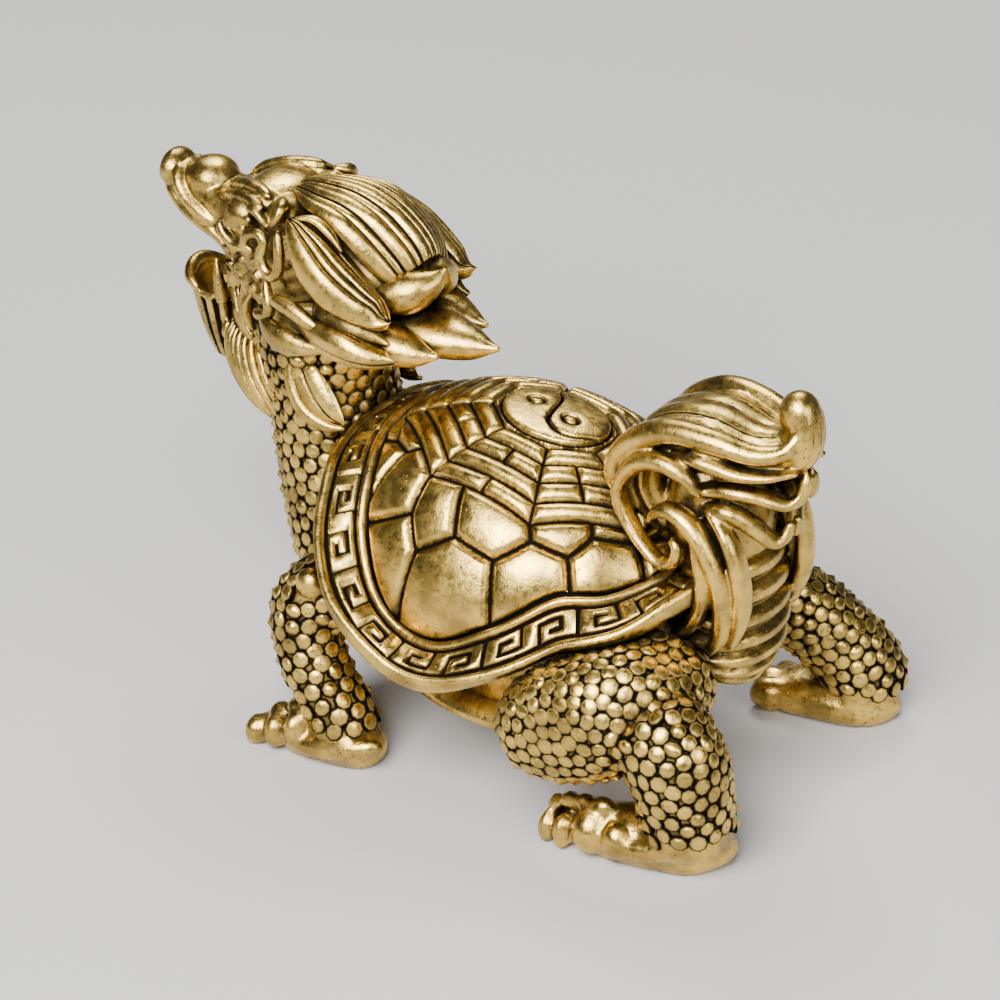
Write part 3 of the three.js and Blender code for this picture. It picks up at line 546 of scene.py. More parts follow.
def bodyRing(turn, halfLength, halfWidth, z):
    a = np.radians(turn)
    heights = np.broadcast_to(z, a.shape)
    along = shell["bellyMiddle"] + halfLength * np.cos(a)
    return np.stack([along, -halfWidth * np.sin(a), heights], -1)


# Neck, legs and feet, fused into one body and sown with pebble scales

body = {
    "voxel": 0.2, "softening": 2, "triangles": 9000, "kneeBare": 1.3,
    "neck": [
        (-14.6, 0, 8.2, 6.4, 4.6), (-17.6, 0, 11.6, 6.0, 4.9), (-19.6, 0, 16.6, 4.9, 4.5),
        (-20.6, 0, 21.4, 4.5, 4.4), (-21.2, 0, 26.4, 4.6, 4.8), (-21.4, 0, 30, 4, 4.4),
    ],
    "frontLeg": {
        "limbs": [[
            (-8.5, 5.5, 12.4, 2.6, 3.2), (-12.6, 9.0, 12.4, 2.6, 2.8), (-15.0, 10.8, 10.8, 2.5),
            (-14.8, 11.4, 8.2, 2.3, 2.2), (-13.6, 11.6, 5.6, 2.3, 2.2), (-12.2, 11.6, 3.4, 2.3),
            (-11.3, 11.5, 1.0, 2.3, 2.4),
        ]],
        "foot": [
            (-8.8, 10.8, 1.0, 1.6, 1.4), (-11, 11.4, 1.2, 2.2, 1.7), (-14, 11.9, 1.2, 2.0, 1.8),
            (-16.2, 12.2, 1.0, 1.7, 1.5),
        ],
        "toes": [(-15.4, 11.2, 1.2, 2.8, 8), (-15.8, 12.4, 1.1, 2.6, 12)],
        "lumps": [
            (-18.0, 13.3, 0.95, 0.85, 1.1, 1.15), (-16.3, 13.5, 1.45, 0.8, 1.0, 1.3),
            (-14.6, 13.5, 2.1, 0.8, 1.0, 1.35), (-16.6, 12.5, 2.5, 0.7, 0.9, 0.65),
            (-15.2, 12.4, 3.2, 0.7, 0.9, 0.75), (-13.8, 12.3, 3.9, 0.65, 0.9, 0.8),
            (-14.0, 12.3, 13.4, 1.1, 0.9, 1.1),
        ],
        "band": [
            (-14.4, 13.9, 1.2, 0.5, 0.6), (-12.0, 13.8, 1.5, 0.5, 0.7), (-9.6, 13.2, 1.9, 0.5, 0.7),
            (-8.0, 12.2, 2.3, 0.4, 0.6),
        ],
    },
    "rearLeftLeg": {
        "limbs": [[
            (11.0, 5.0, 12.2, 2.8, 3.4), (11.6, 9.6, 11.2, 3.2, 4.0), (9.6, 11.6, 10.3, 3.4, 4.2),
            (6.2, 12.3, 8.9, 3.2, 3.9), (2.6, 12.7, 8.0, 2.4, 2.6),
        ], [
            (12.6, 11.0, 11.0, 3.0, 3.2), (15.2, 11.4, 8.4, 3.0, 3.3), (15.9, 10.9, 5.0, 2.9, 3.1),
            (15.9, 10.2, 1.4, 2.8, 3.0),
        ]],
        "foot": [
            (18.6, 8.6, 1.2, 1.7, 1.5), (15.4, 9.8, 1.6, 2.8, 2.4), (12, 11.2, 1.6, 2.2, 2.3),
            (9.2, 11.6, 1.3, 1.7, 1.9), (7.4, 11.8, 1.1, 1.2, 1.4),
        ],
        "toes": [(8.8, 11.0, 1.2, 2.4, 10)],
        "lumps": [
            (6.1, 12.8, 1.1, 0.65, 1.0, 1.2), (7.5, 13.1, 1.3, 0.65, 1.0, 1.35),
            (9.6, 13.0, 1.9, 1.35, 1.3, 1.6), (11.8, 13.2, 2.0, 1.05, 1.0, 1.35),
            (6.3, 12.0, 2.6, 0.65, 0.7, 0.6), (7.4, 12.1, 3.2, 0.7, 0.7, 0.6),
            (8.7, 12.2, 3.5, 0.75, 0.7, 0.6), (10.2, 12.3, 3.8, 0.85, 0.7, 0.6),
        ],
        "band": [
            (12.4, 13.4, 1.6, 0.5, 0.7), (14.4, 13.2, 2.0, 0.5, 0.7), (16.4, 12.4, 2.5, 0.5, 0.7),
            (18.0, 11.0, 2.8, 0.4, 0.6),
        ],
    },
    "rearRightLeg": {
        "limbs": [[
            (6.5, 5.0, 11.0, 2.8, 3.2), (8.8, 8.6, 10.4, 2.8, 3.0), (11.2, 10.8, 8.8, 2.8),
            (13.4, 12.5, 6.4, 2.7), (15.0, 13.6, 4.0, 2.9, 2.6), (15.8, 14.1, 1.2, 3.0, 2.6),
        ]],
        "foot": [
            (17.8, 14.8, 0.8, 1.8, 1.2), (14.8, 13.6, 1.3, 3.0, 1.9), (11.6, 12.6, 1.2, 2.6, 1.8),
            (9.2, 11.9, 1.0, 2.2, 1.5),
        ],
        "toes": [(10.2, 10.8, 1.1, 2.3, -14), (9.8, 12.0, 1.2, 2.4, -4), (10.2, 13.2, 1.1, 2.2, 10)],
        "lumps": [], "band": [],
    },
}
pebbles = {
    "room": 1.05, "push": 1.5, "steps": 40, "size": 0.79, "seed": 7, "groundDark": 0.78,
    "least": (0.88, 0.88, 0.5), "most": (1.12, 1.12, 0.68), "stride": 0.35,
    "segments": 8, "rings": 3, "edgeDark": 1.4, "darkFall": -1.6,
}


def legSkins(leg, which):
    skins = [
        onSide(which, limb, side=(0.3, 1, 0), blunt=(0.1, 0.12), sides=32, rings=44)
        for limb in leg["limbs"]
    ]
    skins.append(onSide(which, leg["foot"], blunt=(0.2, 0.15), sides=32, rings=36))
    for x, y, z, length, turn in leg["toes"]:
        a = math.radians(turn)
        dx, dy = -math.cos(a) * length, math.sin(a) * length
        skins.append(onSide(which, [
            (x, y, z, 0.95, 1.3), (x + dx * 0.5, y + dy * 0.5, z, 1.05, 1.3),
            (x + dx, y + dy, z - 0.3, 0.9, 1.0),
        ], blunt=(0.2, 0.5), rings=24))
    skins += [ball(x, y * which, *rest) for x, y, *rest in leg["lumps"]]
    if leg["band"]:
        skins.append(onSide(which, leg["band"], blunt=(0.15, 0.15), rings=24))
    return skins


def makeBody():
    skins = [form(body["neck"], blunt=(0.1, 0.05), rings=60, sides=48)]
    for name, which in (("frontLeg", -1), ("frontLeg", 1), ("rearLeftLeg", -1), ("rearRightLeg", 1)):
        skins += legSkins(body[name], which)
    made = fused(meshFrom("body", skins), body["voxel"], body["softening"], body["triangles"])
    scaly = isScaly(*pointsOf(made).T).astype(float)
    made.data.attributes.new("scaly", "FLOAT", "POINT").data.foreach_set("value", scaly)
    marked(made.data, scaly * pebbles["groundDark"])
    return made


def isScaly(x, y, z):
    # scales cover the neck and the legs, but not the toes or the boss on the front knee, nor
    # what the beard, the shell and the belly hide
    side = np.abs(y)
    onFrontToes = (x < -13) & (z < 5.4)
    onRearToes = (x > 4) & (x < 12.6) & (z < 5.2)
    onToes = (side > 8) & (onFrontToes | onRearToes)
    knee = body["frontLeg"]["lumps"][-1]
    onKnee = (((x - knee[0]) / body["kneeBare"]) ** 2 + ((z - knee[2]) / body["kneeBare"]) ** 2 < 1)
    onKnee &= side > 11
    onLimb = (z > 2.9) & (side > 5) & ~onToes & ~onKnee
    underBeard = (x < -21.5) & (z > 19) & (side < 3.2)
    onNeck = (x < -12) & (z > 5) & (z < 27) & (side < 8) & ~underBeard
    middle = shell["middle"]
    inDome = (((x - middle[0]) / shell["halfLength"]) ** 2 + (y / shell["halfWidth"]) ** 2
              + ((z - middle[2]) / shell["rise"]) ** 2) < 0.94
    inBelly = ((x - shell["bellyMiddle"]) / 13) ** 2 + (y / 9.4) ** 2 < 0.92
    return (onLimb | onNeck) & ~(inDome & (z > 8)) & ~(inBelly & (z > 5))


def pointsOf(made):
    flat = np.empty(len(made.data.vertices) * 3)
    made.data.vertices.foreach_get("co", flat)
    return flat.reshape(-1, 3) / millimetre


def scalePlaces(ground):
    # places spread over the scaly skin, evened out by letting neighbours push each other away
    chance = np.random.default_rng(pebbles["seed"])
    points = pointsOf(ground)
    scaly = np.empty(len(points))
    ground.data.attributes["scaly"].data.foreach_get("value", scaly)
    ground.data.calc_loop_triangles()
    corners = np.empty(len(ground.data.loop_triangles) * 3, int)
    ground.data.loop_triangles.foreach_get("vertices", corners)
    corners = corners.reshape(-1, 3)
    corners = corners[scaly[corners].min(axis=1) > 0.5]
    first, second, third = (points[corners[:, n]] for n in range(3))
    areas = np.linalg.norm(np.cross(second - first, third - first), axis=1) / 2
    chosen = chance.choice(len(areas), int(areas.sum() / pebbles["room"]), p=areas / areas.sum())
    a, b = np.sqrt(chance.random(len(chosen)))[:, None], chance.random(len(chosen))[:, None]
    places = first[chosen] * (1 - a) + second[chosen] * a * (1 - b) + third[chosen] * a * b
    tree = BVHTree.FromPolygons(points.tolist(), corners.tolist())
    for _ in range(pebbles["steps"]):
        gaps = places[:, None] - places[None]
        distances = np.linalg.norm(gaps, axis=2) + np.eye(len(places)) * 9
        push = np.clip(1 - distances / pebbles["push"], 0, None) ** 1.5
        shoved = np.sum(gaps / distances[..., None] * push[..., None], axis=1)
        moved = places + pebbles["stride"] * shoved
        found = [tree.find_nearest(place) for place in moved.tolist()]
        places = np.array([hit[0] for hit in found])
    print("  ", len(places), "scales")
    mesh = bpy.data.meshes.new("places")
    mesh.from_pydata((places * millimetre).tolist(), [], [])
    facing = mesh.attributes.new("facing", "FLOAT_VECTOR", "POINT")
    facing.data.foreach_set("vector", np.array([hit[1] for hit in found]).ravel())
    return mesh


def pebbleTree():
    # a small dome on every point, turned to face out, with its lower edge marked as a groove
    tree = bpy.data.node_groups.new("pebbleScales", "GeometryNodeTree")
    tree.is_modifier = True
    face = tree.interface
    face.new_socket("Geometry", in_out="INPUT", socket_type="NodeSocketGeometry")
    for name, kind in (("Size", "Float"), ("Seed", "Int"), ("Finish", "Material")):
        face.new_socket(name, in_out="INPUT", socket_type="NodeSocket" + kind)
    face.new_socket("Geometry", in_out="OUTPUT", socket_type="NodeSocketGeometry")
    make = nodeMaker(tree)
    given = make("NodeGroupInput").outputs
    place = make("GeometryNodeInputPosition").outputs["Position"]
    height = make("ShaderNodeSeparateXYZ", {"Vector": place}).outputs
    above = make("ShaderNodeMath", {0: height["Z"]}, operation="ABSOLUTE").outputs["Value"]
    steep = make("ShaderNodeMath", {0: height["Z"], 1: above}, operation="MULTIPLY").outputs["Value"]
    peaked = make("ShaderNodeCombineXYZ", {"X": height["X"], "Y": height["Y"], "Z": steep})
    edgeDark = make("ShaderNodeMath", {
        0: height["Z"], 1: pebbles["darkFall"], 2: pebbles["edgeDark"],
    }, operation="MULTIPLY_ADD")
    ball = make("GeometryNodeMeshUVSphere", {
        "Segments": pebbles["segments"], "Rings": pebbles["rings"], "Radius": 1.0,
    })
    bent = make("GeometryNodeSetPosition", {
        "Geometry": ball.outputs["Mesh"], "Position": peaked.outputs["Vector"],
    })
    dome = make("GeometryNodeStoreNamedAttribute", {
        "Geometry": bent.outputs["Geometry"], "Name": "groove", "Value": edgeDark.outputs["Value"],
    })
    facing = make("GeometryNodeInputNamedAttribute", {"Name": "facing"}, data_type="FLOAT_VECTOR")
    turned = make("FunctionNodeAlignRotationToVector", {"Vector": facing.outputs["Attribute"]},
                  axis="Z")
    varied = make("FunctionNodeRandomValue", {
        "Min": pebbles["least"], "Max": pebbles["most"], "Seed": given["Seed"],
    }, data_type="FLOAT_VECTOR")
    sized = make("ShaderNodeVectorMath", {0: varied.outputs["Value"], "Scale": given["Size"]},
                 operation="SCALE")
    placed = make("GeometryNodeInstanceOnPoints", {
        "Points": given["Geometry"], "Instance": dome.outputs["Geometry"],
        "Rotation": turned.outputs["Rotation"], "Scale": sized.outputs["Vector"],
    })
    real = make("GeometryNodeRealizeInstances", {"Geometry": placed.outputs["Instances"]})
    finished = make("GeometryNodeSetMaterial", {
        "Geometry": real.outputs["Geometry"], "Material": given["Finish"],
    })
    make("NodeGroupOutput", {"Geometry": finished.outputs["Geometry"]})
    return tree


def makePebbles(ground, finish):
    made = bpy.data.objects.new("pebbles", scalePlaces(ground))
    bpy.context.scene.collection.objects.link(made)
    sow = made.modifiers.new("sow", "NODES")
    sow.node_group = pebbleTree()
    values = {
        "Size": pebbles["size"] * millimetre, "Seed": pebbles["seed"], "Finish": finish,
    }
    for item in sow.node_group.interface.items_tree:
        if item.in_out == "INPUT" and item.name in values:
            sow[item.identifier] = values[item.name]
    return settled(made)


# The head, with its jaw, face, locks and beard

head = {
    "voxel": 0.12, "softening": 2, "triangles": 26000, "jawMiddle": -29.8,
    "jawBowl": [
        (-29.5, 21.4, 0.5), (-29.5, 22.0, 1.25), (-29.5, 23.0, 1.7), (-29.6, 24.2, 2.05),
        (-29.7, 25.6, 2.35), (-29.8, 26.8, 2.55),
    ],
    "jawRim": [(0.35, 2.6), (0.08, 2.55), (0, 2.4), (0.08, 2.22), (0.5, 2.05)],
    "jawHollow": [(27.0, 1.85), (26.5, 1.5), (26.2, 0.8)], "jawWave": (28.1, 0.55, 0.8),
    "jawSides": 112, "jawRings": 26, "jawPleats": 7, "pleatDepth": 0.13,
    "beardStep": 10.5, "beardSpread": 126, "lockTriangles": 12000,
    "beardHang": [
        (-25.6, 25.6, 2.9, 0.12), (-25.5, 24.4, 3.35, 0.34), (-24.7, 22.6, 3.75, 0.38),
        (-23.4, 20.8, 3.75, 0.36), (-22.5, 19.6, 3.5, 0.12),
    ],
    "lumps": 34, "lumpSeed": 11,  # small lumps on the cheek, with the least and most below
    "lumpLeast": (-27.6, 28.8, 0.22, 0.1), "lumpMost": (-23.6, 32.0, 0.42, 1.1),
}


def makeHeadCore():
    skins = [
        form([
            (-18, 0, 29.5, 2.5, 3), (-21.5, 0, 30.6, 4.2, 4.5), (-24.2, 0, 32, 4.1, 3.7),
            (-26.8, 0, 33.3, 3.0, 2.4), (-29.3, 0, 33.9, 2.4, 1.75), (-31.4, 0, 34.4, 2.0, 1.5),
            (-33.3, 0, 34.9, 1.4, 1.2), (-34.4, 0, 35.1, 0.9, 0.8),
        ], blunt=(0.1, 0.12), rings=60, sides=40),
        ball(-25.0, 0, 34.4, 3.4, 3.4, 2.0), ball(-24.6, 0, 35.6, 2.5, 3.1, 1.7),
        ball(-33.95, 0, 35.2, 1.25, 1.7, 1.4), ball(-30.8, 0, 35.3, 1.9, 2.0, 1.4),
        form([
            (-27.6, 0, 27.6, 2.4, 2.2), (-25.5, 0, 25.8, 3.2, 3.1), (-24.3, 0, 22.8, 3.3, 3.4),
            (-22.4, 0, 19.4, 3.2),
        ], blunt=(0.1, 0.1), sides=40),
        jawSkin(),
        form([
            (-30.6, -2.3, 27.4, 0.25), (-31.7, -1.8, 27.8, 0.45, 0.4),
            (-32.2, -0.9, 28.2, 0.55, 0.5), (-32.35, 0, 28.3, 0.6, 0.5), (-32.2, 0.9, 28.2, 0.55, 0.5),
            (-31.7, 1.8, 27.8, 0.45, 0.4), (-30.6, 2.3, 27.4, 0.25),
        ], side=(0, 0, 1), blunt=(0.08, 0.08)),
    ]
    chance = np.random.default_rng(head["lumpSeed"])
    for _ in range(head["lumps"]):
        x, z, size, dark = chance.uniform(head["lumpLeast"], head["lumpMost"])
        reach = 0.2 + (4.1 + 0.42 * (x + 24.2)) * math.sqrt(1 - ((z - 32.1) / 6) ** 2)
        for which in (-1, 1):
            skins.append(ball(x, reach * which, z, size, size, size, 12, 8))
            skins[-1][3][:] = dark
    for which in (-1, 1):
        skins += [ball(-22.6, 2.4 * which, 35.3, 1.5, 1.9, 1.3),
                  ball(-23.9, 2.7 * which, 36.0, 0.9, 1, 0.7),
                  ball(-26.9, 2.1 * which, 31.1, 1.0, 0.9, 1.1)]
        skins += [onSide(which, stations, **options) for stations, options in faceStrands]
        skins += [ball(-25.7, 3.2 * which, 34.7, 1.5, 1.2, 1.35),
                  ball(-26.5, 4.0 * which, 34.3, 0.45, 0.35, 0.45),
                  ball(-25.2, 4.2 * which, 34.1, 0.4, 0.3, 0.4),
                  ball(-24.7, 4.1 * which, 34.9, 0.35, 0.3, 0.35)]
    return fused(meshFrom("headCore", skins), head["voxel"], head["softening"], head["triangles"])


# Each strand of the face is its stations and options, on the right side and mirrored
faceStrands = [
    ([(-33.0, 0.6, 35.8, 0.5, 0.4), (-32.6, 1.5, 35.0, 0.6, 0.5), (-31.7, 1.9, 34.1, 0.62, 0.5),
      (-30.4, 2.2, 33.5, 0.58, 0.5), (-28.8, 2.4, 32.9, 0.4)], {"blunt": (0.1, 0.1)}),
    ([(-34.5, 0.7, 34.3, 0.35), (-33.2, 1.4, 33.8, 0.42, 0.4), (-32.0, 1.8, 33.1, 0.45, 0.42),
      (-30.4, 2.2, 32.6, 0.45, 0.42), (-28.8, 2.4, 32.1, 0.42, 0.4), (-27.6, 2.6, 31.3, 0.35),
      (-27.4, 2.6, 30.2, 0.3), (-28.0, 2.4, 29.2, 0.2)], {"blunt": (0.1, 0.1)}),
    ([(-28.2, 2.9, 33.6, 0.3), (-27.6, 3.1, 32.8, 0.45, 0.4), (-26.6, 3.2, 32.3, 0.5, 0.4),
      (-25.4, 3.6, 32.4, 0.3)], {"blunt": (0.1, 0.1)}),
    ([(-24.2, 2.7, 31.4, 0.9), (-26.2, 2.4, 30.0, 0.9, 1.0), (-27.8, 1.8, 28.6, 0.6, 0.7)],
     {"blunt": (0.15, 0.15)}),
    ([(-25.2, 3.3, 31.6, 0.3), (-26.3, 3.1, 30.8, 0.38, 0.35), (-27.0, 2.8, 29.6, 0.3),
      (-27.2, 2.6, 28.6, 0.15)], {"blunt": (0.1, 0)}),
    ([(-24.3, 3.5, 30.8, 0.3), (-25.4, 3.3, 29.8, 0.36, 0.34), (-26.0, 3.1, 28.8, 0.3),
      (-26.1, 3.0, 27.8, 0.15)], {"blunt": (0.1, 0)}),
    ([(-28.9, 1.5, 35.0, 0.3), (-27.4, 2.6, 35.7, 0.42, 0.38), (-25.8, 3.2, 36.15, 0.45, 0.4),
      (-24.4, 3.8, 36.3, 0.42, 0.38), (-23.4, 4.2, 36.2, 0.15)], {"blunt": (0.1, 0)}),
    ([(-28.4, 1.3, 35.4, 0.3), (-27.4, 1.8, 36.2, 0.5, 0.42), (-25.9, 2.3, 36.8, 0.55, 0.45),
      (-24.3, 2.9, 36.9, 0.5, 0.45), (-23.3, 3.4, 36.7, 0.3)], {"blunt": (0.1, 0.1)}),
    ([(-24.9, 4.0, 35.8, 0.25, 0.2), (-23.9, 4.3, 35.9, 0.42, 0.3), (-23.1, 4.5, 35.4, 0.32, 0.25),
      (-22.8, 4.6, 34.8, 0.1)], {"blunt": (0.1, 0)}),
    ([(-22.6, 3.0, 36.9, 0.25), (-21.9, 3.8, 36.6, 0.55, 0.4), (-22.0, 4.4, 35.8, 0.5, 0.38),
      (-22.8, 4.6, 34.7, 0.1)], {"blunt": (0.1, 0)}),
    ([(-28.6, 2.1, 26.8, 0.5), (-28.9, 2.2, 28.6, 0.42), (-29.1, 2.1, 30.2, 0.12)],
     {"side": (1, 0, 0)}),
    ([(-24.9, 3.4, 29.3, 0.12), (-25.6, 3.5, 28.0, 0.38, 0.36), (-25.4, 3.6, 27.0, 0.4, 0.38),
      (-24.8, 3.7, 26.2, 0.12)], {}),
    ([(-27.3, 2.5, 28.7, 0.12), (-26.8, 2.9, 27.3, 0.17), (-26.2, 3.2, 26.2, 0.17),
      (-25.3, 3.4, 25.2, 0.1)], {}),
    ([(-26.7, 2.9, 28.8, 0.12), (-26.3, 3.2, 27.4, 0.17), (-25.8, 3.3, 26.4, 0.17),
      (-25.0, 3.5, 25.5, 0.1)], {}),
    ([(-28.3, 1.9, 25.4, 0.25), (-28.4, 2.0, 24.5, 0.45, 0.4), (-28.1, 1.9, 23.6, 0.2)],
     {"blunt": (0.1, 0.1)}),
]


def jawSkin():
    # the lower jaw is a scoop: an outer bowl with a wavy rim that turns into a hollow
    sides = head["jawSides"]
    turn = 2 * np.pi * np.arange(sides) / sides
    height, tilt, wave = head["jawWave"]
    rim = height + tilt * np.cos(turn) + wave * np.cos(2 * turn)
    pleat = np.abs(np.cos(turn * head["jawPleats"])) ** 3
    ribs = 1 - head["pleatDepth"] * pleat
    rings = []

    def ring(x, z, reach, shape=1.0):
        rings.append(np.stack([x + reach * shape * np.cos(turn), reach * shape * np.sin(turn) * 0.95,
                               z * np.ones(sides)], -1))

    bowl = np.array(head["jawBowl"])
    bowlRings = head["jawRings"]
    steps = np.linspace(0, len(bowl) - 1, bowlRings)
    for x, z, reach in zip(*(np.interp(steps, np.arange(len(bowl)), column) for column in bowl.T)):
        ring(x, z, reach, ribs)
    middle = head["jawMiddle"]
    for below, reach in head["jawRim"]:
        ring(middle, rim - below, reach)
    for z, reach in head["jawHollow"]:
        ring(middle, z, reach)
    dark = np.zeros((len(rings), sides))
    dark[:bowlRings] = 1.6 * pleat
    dark[bowlRings + 4:] = 0.6
    return skin(rings, (-29.5, 0, 21.1), (middle, 0, 26.1), dark)


def makeHeadLocks():
    skins = []
    for which in (-1, 1):
        skins += [
            onSide(which, [
                (-23.6, 5.0, 33.1, 0.3), (-24.3, 5.1, 33.5, 0.33), (-24.1, 5.1, 34.3, 0.36),
                (-23.2, 5.1, 34.7, 0.38), (-22.6, 5.2, 34.2, 0.4), (-22.8, 5.3, 33.1, 0.42),
                (-22.4, 5.4, 32.3, 0.42), (-21.7, 5.5, 32.0, 0.42), (-21.1, 5.6, 32.6, 0.42),
                (-21.0, 5.6, 33.6, 0.4), (-21.2, 5.4, 34.6, 0.36), (-21.4, 5.2, 35.4, 0.25),
            ], rings=80, sides=14, blunt=(0.04, 0.05)),
            onSide(which, [
                (-22.6, 5.0, 31.7, 0.2), (-22.2, 5.5, 30.8, 0.38, 0.36), (-21.8, 5.8, 30.0, 0.45, 0.42),
                (-21.9, 5.8, 29.2, 0.42), (-22.9, 5.6, 28.8, 0.38, 0.36), (-23.5, 5.2, 28.9, 0.15),
            ], rings=34, sides=16, blunt=(0.08, 0.05)),
            onSide(which, [
                (-22.0, 5.6, 30.0, 0.35, 0.3), (-20.8, 6.2, 30.6, 0.55, 0.5), (-19.2, 6.5, 30.4, 0.62, 0.55),
                (-17.8, 6.6, 29.9, 0.5, 0.45), (-16.8, 6.5, 29.5, 0.32, 0.3), (-16.2, 6.4, 29.6, 0.1),
            ], rings=34, sides=18, side=(0.3, 0, 1), blunt=(0.3, 0)),
            onSide(which, [
                (-23.2, 5.3, 28.9, 0.35, 0.3), (-21.6, 6.1, 28.3, 0.85, 0.6), (-20.0, 6.5, 27.9, 1.0, 0.65),
                (-18.2, 6.5, 27.9, 0.6, 0.5), (-16.9, 6.3, 28.1, 0.35), (-16.0, 6.2, 28.4, 0.12),
            ], rings=36, sides=20, side=(0.2, 0, 1), blunt=(0.3, 0)),
            onSide(which, [
                (-20.7, 4.2, 26.2, 0.2), (-21.0, 4.6, 24.6, 0.42, 0.4), (-20.5, 4.9, 23.1, 0.5, 0.45),
                (-19.4, 5.0, 21.9, 0.55, 0.5), (-17.7, 4.9, 21.3, 0.45, 0.42), (-16.3, 4.7, 21.4, 0.15),
            ], rings=44, sides=16, side=(1, 0, 0.4)),
            petal([(-20.8, 4.2, 26.0), (-20.8, 4.6, 24.2), (-20.0, 4.8, 22.6), (-18.4, 4.8, 21.6),
                   (-16.6, 4.6, 21.5)],
                  [(-20.4, 3.9, 26.2), (-18.9, 4.2, 25.2), (-17.6, 4.3, 23.7), (-16.8, 4.4, 22.4),
                   (-16.5, 4.5, 21.6)], core=(-19, 0, 23), strands=(0, 0.5, 1), bulge=(0.1, 0.3, 0.1),
                  ridge=0.35, rings=30, across=20, which=which),
        ]
    count = int(head["beardSpread"] / head["beardStep"])
    for n in range(-count, count + 1):
        swing = math.radians(head["beardStep"] * n)
        skins.append(form([
            (x - far * math.cos(swing), far * math.sin(swing), z, size, size * 1.2)
            for x, z, far, size in head["beardHang"]
        ], side=(math.sin(swing), math.cos(swing), 0), rings=20, sides=8))
    return thinned(meshFrom("headLocks", skins), head["lockTriangles"])


# The mane, in petals cut with strands; the right side's lower locks are shorter

mane = {"core": (-17.6, 0, 31.4), "shorterRight": 2.0, "tuckedRight": 0.8, "triangles": 30000}


